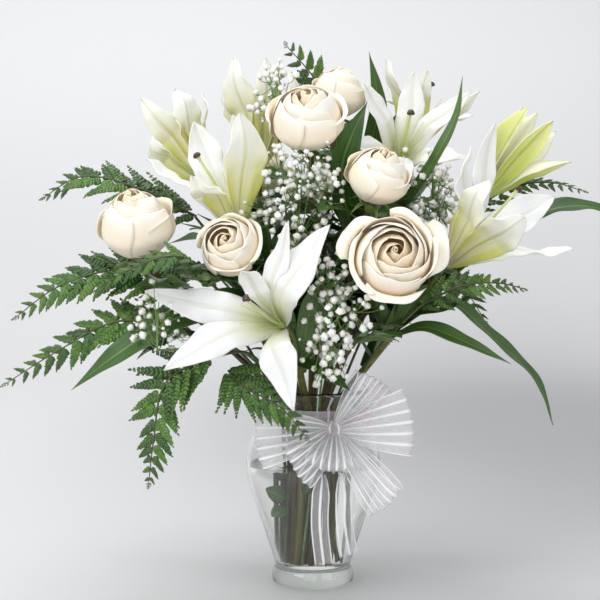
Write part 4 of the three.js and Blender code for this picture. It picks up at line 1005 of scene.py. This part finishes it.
def lily_pistil(name, base, direction, style, _):
    """The ovary, a style with a three-lobed stigma, radius (1 + 0.2 cos 3a), and six thin
    filaments that bow outwards."""
    axis, right, up = frame_of(direction)
    root = vec(base) + 4.4 * axis
    aside, rise = STYLE_LEAN.get(name, (0, 0.1))
    lean = aside * right + rise * up
    tip = vec(base) + style * (axis + lean)
    body = Body()
    t = column(22)
    line = root + (tip - root) * t - 0.03 * style * sin(np.pi * t) * unit(lean)
    thick = flow([0, 0.02, 0.12, 0.2, 0.9, 1], [2.2, 3.2, 3.6, 1.6, 1.35, 2.2], t)
    tube(body, line, thick, 10, zone=step_up(t, 0.955, 1.0))
    run = unit(tip - line[-3])
    side = unit(cross(run, right))
    b, a = even(9, 0, np.pi)[:, None], even(25, 0, TURN)
    reach = 3.6 * sin(b) ** 0.8 * (1 + 0.2 * cos(3 * a))
    height = -2.4 * cos(b) - 0.8 * cos(3 * a) * sin(b) ** 2
    surface(body, around(tip, (run, side, cross(run, side)), height, reach, a), zone=1.0)
    for k in range(FILAMENTS):
        out = spin((k + 0.5) * TURN / FILAMENTS, right, up)
        line = root + 5 * axis + 2.1 * out + FILAMENT_LENGTH * t * spin(FILAMENT_OPENING, axis, out)
        tube(body, line - 2.5 * sin(np.pi * t) * out, lerp(0.9, 0.35, t), 6, tint=0.3)
    body.write(f"lily_{name}_style", f"lily_{name}_pistil", "lily_pistil", PISTIL)


# ---- Leaves ----

LEAF_NECK, LEAF_KEEL, LEAF_THICK, LEAF_WAVE = 0.3, 0.3, 0.7, 46
FILLER_COUNT, FILLER_LENGTH, FILLER_WIDTH, FILLER_TURN = 3, 88, 19, 137.5
FILLER_ARCH = [(0, 0), (0.3, 0.3), (0.68, 0.46), (1, 0.4)]  # out and up, in parts of its length
SMALL_LEAVES, SMALL_LOWEST = 14, 215  # tried up each stalk, and from what height
SMALL_REACHES, SMALL_WIDTH = (92, 72, 54, 40), 0.21
SMALL_ARCH = [(0, 0), (0.2, 0.3), (0.42, 0.62), (0.62, 0.86), (0.84, 1.0)]


def leaf(body, points, width, up, tint):
    """A long blade: half its width is a root of a sine that closes to a point; its edges rise
    from the midrib by the keel, and its margins wave a little."""
    curve = Curve(points)
    face = unit(vec(up))
    t, u = column(44), even(13, -1, 1)
    shape = LEAF_NECK + (1 - LEAF_NECK) * sin(np.pi * clip(0.12 + 0.88 * t, 0, 1)) ** 0.7
    half = width / 2 * shape * (1 - clip((t - 0.55) / 0.45, 0, 1) ** 2.2)
    middle = curve.at(t)
    waves = TURN * length_of(middle) / LEAF_WAVE
    wave = 0.10 * sin(waves * t + 2.4 * (u > 0) + 7 * tint) * u ** 2
    lift = half * (LEAF_KEEL * np.abs(u) ** 1.25 + wave)
    grid = blade(middle, half * u, unit(cross(curve.run(t), face)), lift, face)
    shell(body, grid, LEAF_THICK, tint=tint)


def arch(root, out, reach, steps, steep=1.0):
    """Points that go out and up from a root by parts of a reach."""
    return [root + far * reach * out + [0, 0, high * steep * reach] for far, high in steps]


def lily_stalk(name, slot, path, blooms_on_it, leaves, shorts):
    """The stalk's tube, a pedicel for each bloom along a quadratic curve, and the leaves."""
    line = climb(slot, path)
    body = Body()
    tube(body, line, flow([0, 0.8, 1], [3.7, 3.6, 3.2], even(len(line))), 12, finish=1)
    t = column(16)
    for bloom, base, direction, *_ in LILIES:
        if bloom in blooms_on_it:
            ahead = unit(vec(direction))
            heel = vec(base) - 1.5 * ahead
            far = np.linalg.norm(heel - line[-1])
            pedicel = bezier(line[-1] - [0, 0, 3], heel - 0.45 * far * ahead, heel, t)
            tube(body, pedicel, flow([0, 0.8, 1], [2.6, 2.2, 3.0], t), 10, zone=0.6, finish=1)
    for k, (points, width, up) in enumerate(leaves):
        leaf(body, points, width, up, 0.15 + 0.7 * ((k * 0.37) % 1))
    upper = Curve(climb(slot, path, 6)[8:])
    for place, scale in shorts:
        out = ring(slot[0] + place * FILLER_TURN)
        root = upper.at((place + 0.5) / FILLER_COUNT)
        points = arch(root, out, FILLER_LENGTH * scale, FILLER_ARCH)
        leaf(body, points, FILLER_WIDTH * scale, [0, 0, 1] - 0.3 * out, 0.3 + 0.2 * place)
    luck = np.random.default_rng(int(slot[0]))
    low = line[line[:, 2] > SMALL_LOWEST]
    for k in range(SMALL_LEAVES):
        root = low[int((k + 0.5) / SMALL_LEAVES * len(low))]
        out = ring(slot[0] + 60 + k * GOLDEN)
        for reach in SMALL_REACHES:
            points = arch(root, out, reach, SMALL_ARCH, luck.uniform(0.5, 1.3))
            if clear_of_blooms(np.array(points[1:])):
                width = reach * SMALL_WIDTH
                leaf(body, points, width, [0, 0, 1] - 0.6 * out, luck.uniform(0, 0.5))
                break
    body.write(f"lily_stalk_{name}_green", f"lily_stalk_{name}", "lily_leaf", LEAF, LILY_STEM)


# ---- Ferns ----

LEAFLET_OUT, LEAFLET_LEAN, LEAFLET_DROOP = 0.76, 0.64, 0.14
FROND_TAPER, LOWEST_PAIR, TIP_ROOM = 0.75, 0.8, 0.6
TIP_PAIRS, TIP_PAIR_SIZE = (0.957, 0.974, 0.988), 0.62
LOBE_PAIRS, LOBE_THICK = 9, 0.34
RIB_START = 0.012  # where along the rib its stalk ends
# The outline of a lobe: place along it and half its width, with rounded teeth.
LOBE = [(0, 0.16), (0.2, 0.46), (0.3, 0.36), (0.46, 0.5), (0.56, 0.36), (0.72, 0.36), (0.84, 0.2),
        (1, 0.0)]


def frond(name, slot, path, reach, pairs, rib, up):
    """A frond twice divided: pairs of leaflets along the rib, each with toothed lobes along
    its own midrib. A lobe lies on root + length a (side and forward) + width b across, and
    droops with the square of a."""
    curve = Curve(rib)
    face = unit(vec(up))
    luck = luck_of(name, 900)
    body = Body()
    tube(body, climb(slot, [*path, curve.at(RIB_START)]), 1.4, zone=1.0)
    t = column(40)
    tube(body, curve.at(t), lerp(1.35, 0.4, t), zone=1.0)
    spots = np.append((np.arange(pairs) + 0.5) / (pairs + TIP_ROOM), TIP_PAIRS)
    lengths = reach * (1 - spots) ** FROND_TAPER
    lengths[0] *= LOWEST_PAIR
    lengths[-3:] *= TIP_PAIR_SIZE
    spots = np.repeat(spots, 2)
    lengths = np.repeat(lengths, 2) * luck.uniform(0.93, 1.0, len(spots))
    sign = np.tile([-1.0, 1.0], len(spots) // 2)[:, None]
    spots = clip(spots + 0.006 * sign[:, 0], 0, 1)
    forward = curve.run(spots)
    side = unit(cross(forward, face))
    run = unit(sign * LEAFLET_OUT * side + LEAFLET_LEAN * forward - LEAFLET_DROOP * face
               + 0.09 * luck.normal(size=side.shape))
    root = curve.at(spots) + sign * side

    def midrib(part):
        """Points of every leaflet's midrib: straight on, a little forward, and down."""
        part, long = part[:, None], lengths[:, None, None]
        return (root[:, None] + run[:, None] * part * long
                + long * part ** 2 * (0.09 * forward[:, None] - 0.05 * face))

    s = even(9)
    tube(body, midrib(s), lerp(0.55, 0.2, s), 5, zone=0.7)
    tint = luck.uniform(0, 1, len(spots))
    # Lobes: place j along each leaflet's midrib, on both of its sides, and one at its tip.
    j = np.repeat((np.arange(LOBE_PAIRS) + 0.55) / (LOBE_PAIRS + 0.7), 2)
    hand = np.tile([-1.0, 1.0], LOBE_PAIRS)
    j, hand = np.append(clip(j + 0.012 * hand, 0, 1), 0.95), np.append(hand, 0.0)
    tip = hand == 0
    shape = (len(spots), len(j))
    flank = unit(cross(run, face))[:, None]
    out = unit(np.where(tip, 1.0, 0.62)[:, None] * run[:, None] + 0.8 * hand[:, None] * flank
               - 0.12 * face + 0.2 * luck.uniform(-1, 1, (*shape, 3)))
    step = length_of(curve.at(t)) / (pairs + TIP_ROOM)
    long = (np.minimum(0.74 * step, 0.34 * lengths)[:, None] * (1 - j) ** 0.55
            * luck.uniform(0.88, 1.05, shape))
    long = np.where(tip, 0.12 * lengths[:, None], long)
    wide = (lengths[:, None] / LOBE_PAIRS) * (1 - 0.4 * j) * 2.05
    wide = np.where(tip, 0.07 * lengths[:, None], np.minimum(wide, 1.1 * long + 0.6))
    a, half = np.array(LOBE).T[..., None]
    b = even(3, -1, 1) * half
    bend = -0.16 * a ** 2 - 0.35 * np.abs(b) + 0.05

    def each(lobe, parts, direction):
        """A lobe's size times the parts of it at each point, along a direction."""
        return (lobe[..., None, None] * parts)[..., None] * direction

    grid = (midrib(j)[:, :, None, None] + each(long, a + 0 * b, out[:, :, None, None])
            + each(wide, b, unit(cross(out, face))[:, :, None, None]) + each(long, bend, face))
    tint = np.repeat(tint, len(j))[:, None, None]
    tint = clip(tint + luck.uniform(-0.2, 0.2, tint.shape), 0, 1)
    shell(body, grid, LOBE_THICK, tint=tint)
    body.write(f"fern_{name}_green", f"fern_{name}", "fern", FERN)


# ---- Baby's breath ----

# A floret's rings from its cup over the outer petals to the heart: radius, height, how much
# every other point stands out, and zone (1 green).
FLORET_RINGS = np.array([
    (0.0, -0.95, 0, 1), (0.36, -0.75, 0, 0.9), (0.62, -0.3, 0.05, 0.1), (1.0, 0.1, 0.12, 0),
    (0.78, 0.3, 0.05, 0), (0.82, 0.58, 0.16, 0), (0.5, 0.62, 0.1, 0), (0.42, 0.86, 0.3, 0),
    (0.0, 0.78, 0, 0),
])
FLORET_COLUMNS, FLORET_SIZE = 10, (2.7, 4.3)
SMALL_PART, SMALL_SIZE = 0.22, 0.5  # the part of the florets that are half open
FLORET_FROM_BLOOM, FLORET_APART = 4.5, 5.4
CLUMP, CLUMP_SPREAD = 7, 7.5  # florets in a clump, and how far they lie from its middle
TRIES, AT_ONCE = 40, 200  # for each floret, and how many are measured together
FORKS = 24


def spray(name, slot, path, centre, half, count, seed, taken):
    """Florets filled into the outer part of an egg, each kept clear of the blooms and of the
    others. Thin twigs run from forks of the stem through side branches to each floret."""
    luck = np.random.default_rng(seed)
    middle, half = vec(centre), vec(half)
    foot = middle - [0, 0, 0.8 * half[2]]
    crown = middle + [0, 0, 0.45 * half[2]]
    tries, clumps = count * TRIES, count // CLUMP
    way = unit(luck.normal(size=(clumps, 3)))
    hearts = middle + way * half * luck.uniform(0.25, 1.0, (clumps, 1)) ** 0.5
    spots = hearts[luck.integers(0, clumps, tries)] + CLUMP_SPREAD * luck.normal(size=(tries, 3))
    near = np.concatenate([
        np.linalg.norm(spots[k:k + AT_ONCE, None] - taken, axis=-1).min(axis=1)
        for k in range(0, tries, AT_ONCE)])
    kept = []
    for spot in spots[near > FLORET_FROM_BLOOM]:
        if len(kept) == count:
            break
        if not kept or np.linalg.norm(np.array(kept) - spot, axis=1).min() > FLORET_APART:
            kept.append(spot)
    spots = np.array(kept)
    size = luck.uniform(*FLORET_SIZE, len(spots))
    size = np.where(luck.uniform(size=len(spots)) < SMALL_PART, SMALL_SIZE * size, size)[:, None]
    body = Body()
    trunk = lerp(foot, crown, even(8, 0.1, 1)[:, None])
    tube(body, np.vstack([climb(slot, [*path, foot]), trunk]), 1.1, finish=1)
    ends = lerp(middle, spots[luck.permutation(len(spots))[:FORKS]], 0.62)
    t = column(7)

    def twigs(roots, tips, sag, thick, sides):
        """Lines from roots to tips that sag between them by a sine."""
        line = roots[:, None] + (tips - roots)[:, None] * t - [0, 0, sag] * sin(np.pi * t)
        tube(body, line, thick, sides, finish=1)

    twigs(lerp(foot, crown, column(len(ends))), ends, 3.5, 0.55, 5)
    nearest = np.linalg.norm(spots[:, None] - ends, axis=-1).argmin(axis=1)
    aim = unit(unit(spots - middle) + [0, -0.25, 0.55] + 0.35 * luck.normal(size=spots.shape))
    twigs(ends[nearest], spots - aim * size * 0.9, 2.0, 0.34, 4)
    radius, height, stand, zone = FLORET_RINGS.T[..., None]
    odd = np.where(np.arange(FLORET_COLUMNS + 1) % 2, 1.0, -1.0)
    reach, height = radius * (1 + stand * odd), height + 0.6 * stand * odd
    x = unit(cross(aim, [0.3, 0.2, 0.9]))
    axes = [axis[:, None, None] for axis in (aim, x, cross(aim, x))]
    twist = luck.uniform(0, 6.3, (len(spots), 1, 1)) + even(FLORET_COLUMNS + 1, 0, TURN)
    grid = spots[:, None, None] + size[..., None, None] * around(0, axes, height, reach, twist)
    surface(body, grid, tint=luck.uniform(0, 1, (len(spots), 1, 1)), zone=zone)
    body.write(f"gypsophila_{name}_florets", f"gypsophila_{name}", "gypsophila", FLORET, TWIG)


# ---- Ribbon ----

CLOTH_THICK = 0.35
BOW_WIDTH = 48
KNOT_SWELL = 0.06


def ribbon_bow():
    """Six loops and the knot of one ribbon. A loop goes out and back as (1 - cos)/2, bulges as
    the sine, narrows to the knot in pleats, and its fold is scalloped between its stripes."""
    body = Body()
    middle = vec(KNOT_CENTRE)
    s, u = column(56), even(57, -1, 1)
    reach = 0.5 * (1 - cos(TURN * s))
    gather = 1 - reach
    for number, (out, across, length, wide, deep) in enumerate(LOOPS):
        forward = unit(vec(out))
        width = unit(vec(across) - vec(across) @ forward * forward)
        half = wide / 2 * lerp(0.1, 1, reach ** 0.6)
        bulge = 0.5 * deep * sin(TURN * s) * lerp(0.35, 1, reach)
        apart = 1.2 * np.sign(0.5 - s) * (1 - step_up(reach, 0, 0.08))
        stripes = round(wide / RIBBON_PITCH)
        pleat = 1.1 * gather * cos(np.pi * stripes * u + number) * step_up(reach, 0.0, 0.12)
        sway = 3.5 * sin(2.1 * u + 5 * s + number) * reach
        scallop = 1.6 * reach ** 6 * np.abs(sin(0.5 * np.pi * stripes * (u + 1)))
        far = lerp(4, length, reach) - scallop - 5.0 * reach ** 3 * u ** 2
        grid = (middle + far[..., None] * forward + (half * u)[..., None] * width
                + (bulge + apart + pleat + sway)[..., None] * cross(forward, width))
        shell(body, grid, CLOTH_THICK, tint=number / len(LOOPS), zone=0.9 * gather ** 3)
    knot = drop_of(middle, KNOT_SIZE, rows=22, columns=48, swell=KNOT_SWELL)
    surface(body, knot, zone=0.8)
    piece = body.write("ribbon_bow_loops", "ribbon_bow", "ribbon",
                       ribbon_finish("ribbon_bow", BOW_WIDTH))


def ribbon_tail(name, wide, up, points):
    """A hanging end: its half width opens from the pleat, and it sways and curls across."""
    curve = Curve(points)
    t, u = column(60), even(25, -1, 1)
    line = curve.at(t)
    face = unit(vec(up))
    half = wide / 2 * np.minimum(1, 0.3 + 1.4 * t)
    curl = 1.2 * cos(2.5 * np.pi * u) * (1 - 0.6 * t) + 1.6 * sin(9 * t) * u
    body = Body()
    shell(body, blade(line, half * u, unit(cross(curve.run(t), vec(up))), curl, face),
          CLOTH_THICK, zone=(1 - t) ** 4 * 0.6)
    piece = body.write(f"ribbon_end_{name}", f"ribbon_tail_{name}", "ribbon",
                       ribbon_finish(f"ribbon_end_{name}", wide))


def ribbon_band():
    """The ribbon round the neck: a closed ring in section, pleated by small waves along it."""
    tall = BAND_HIGH - BAND_LOW
    a, corner = even(181, 0, TURN), even(41, 0, TURN)[:, None]
    height = (BAND_LOW + BAND_HIGH) / 2 - tall / 2 * cos(corner)
    ridge = 0.22 * cos(7 * np.pi * (height - BAND_LOW) / tall + 0.8 * sin(3 * a))
    middle = BAND_RADIUS + BAND_THICK / 2
    radius = middle + BAND_THICK / 2 * sin(corner) + ridge * (sin(corner) > 0)
    grid = np.stack([radius * cos(a), radius * sin(a), height + 0.5 * sin(2 * a)], axis=-1)
    body = Body()
    surface(body, grid[:, ::-1], zone=0.6)
    piece = body.write("ribbon_round_neck", "ribbon_band", "ribbon",
                       ribbon_finish("ribbon_band", tall))


# ---- The arrangement ----

vase()
water()
ribbon_band()
for rose in ROSES:
    rose_bloom(*rose)
for lily in LILIES:
    lily_bloom(*lily)
    if lily[3]:
        lily_pistil(*lily)
for _, centre, facing, radius, *_ in ROSES:
    core = drop_of(vec(centre) + 0.05 * radius * unit(vec(facing)), (0.95 * radius,) * 3)
    bloom_points.append(core.reshape(-1, 3))
blooms = np.concatenate(bloom_points)
for rose in ROSES:
    rose_stem(*rose)
for stalk in STALKS:
    lily_stalk(*stalk)
for fern in FRONDS:
    frond(*fern)
for number, cloud in enumerate(SPRAYS):
    spray(*cloud, 101 + number, blooms)
ribbon_bow()
for tail in TAILS:
    ribbon_tail(*tail)


# ---- Floor and light, in metres ----

FLOOR_FRONT, FLOOR_BACK, SWEEP, WALL_TOP, HALF_WIDE = -4.0, 1.6, 0.9, 4.5, 4
# The middle of a soft shadow painted on the floor, and how fast it fades along each axis.
PAINTED_SHADOW_PLACE, PAINTED_SHADOW_FADE = (0.38, 1.0, 0.0), (1.2, 0.75, 0.75)
MIDDLE = (0, 0, 0.3)
LAMPS = [  # name, place, aim, size, watts
    ("key", (-1.5, -1.5, 1.7), MIDDLE, (1.4, 1.4), 28),
    ("front", (-0.3, -2.3, 0.9), MIDDLE, (1.6, 1.2), 9),
    ("fill", (1.5, -1.7, 0.9), MIDDLE, (1.2, 1.2), 8),
    ("top", (0.0, 0.1, 2.2), MIDDLE, (1.4, 1.4), 11),
    ("wall", (-0.5, 0.9, 2.9), (-0.2, 2.4, 1.2), (2.0, 1.0), 34),
]


def backdrop():
    """A pale sweep: flat floor, a quarter circle, then a wall. Its colour holds painted shade,
    darker low down, and a soft painted shadow on the floor."""
    a = even(24, 0, np.pi / 2)
    y = np.array([FLOOR_FRONT, *(FLOOR_BACK + SWEEP * sin(a)), FLOOR_BACK + SWEEP])[:, None]
    z = np.array([0, *(SWEEP - SWEEP * cos(a)), WALL_TOP])[:, None]
    grid = np.stack(np.broadcast_arrays(even(3, -HALF_WIDE, HALF_WIDE), y, z), axis=-1)
    mesh = bpy.data.meshes.new("backdrop")
    mesh.from_pydata(grid.reshape(-1, 3), [], grid_faces(len(y), 3).tolist())
    mesh.polygons.foreach_set("use_smooth", np.ones(len(mesh.polygons), bool))
    f = Finish("backdrop", plain=True, roughness=0.7, specular_ior_level=0.2)
    paper = f.cloudy(900)
    place = f.node("TexCoord").outputs["Object"]
    # How far a point is from the middle of the painted shadow, stretched along each axis.
    near = f.node("VectorMath", {"operation": "SUBTRACT"}, {0: place, 1: PAINTED_SHADOW_PLACE})
    near = f.node("VectorMath", {"operation": "MULTIPLY"}, {0: near.outputs[0], 1: PAINTED_SHADOW_FADE})
    near = f.node("VectorMath", {"operation": "LENGTH"}, {0: near.outputs[0]})
    height = f.node("SeparateXYZ", inputs={0: place}).outputs["Z"]
    # Pale paper with painted shade: darker low down, and a painted shadow on the floor.
    f.paint((0.765, 0.765, 0.77),
            (paper, (0.79, 0.79, 0.795)),
            # painted shade: darker low down, on the floor and the foot of the sweep
            (f.spread(height, 0.2, 0.8, 1, 0), (0.67, 0.672, 0.678)),
            # painted shadow: dark grey round the middle of the shadow painted on the floor
            (f.spread(near.outputs["Value"], 0.1, 1.15, 1, 0), (0.365, 0.37, 0.378)))
    f.bump(paper, 0.05, 0.0005)
    mesh.materials.append(f.material)
    floor = stand("backdrop", mesh)


def lamp(name, place, aim, size, watts):
    data = bpy.data.lights.new(name, "AREA")
    data.shape, data.energy = "RECTANGLE", watts
    data.size, data.size_y = size
    stand(name, data, place, (Vector(aim) - Vector(place)).to_track_quat("-Z", "Y").to_euler())


backdrop()
for one in LAMPS:
    lamp(*one)

world = bpy.data.worlds.new("studio")
bpy.context.scene.world = world
world.use_nodes = True
sky = world.node_tree.nodes["Background"].inputs
sky["Color"].default_value = (0.96, 0.975, 1.0, 1)
sky["Strength"].default_value = 0.55
bpy.context.scene.view_settings.view_transform = "Standard"
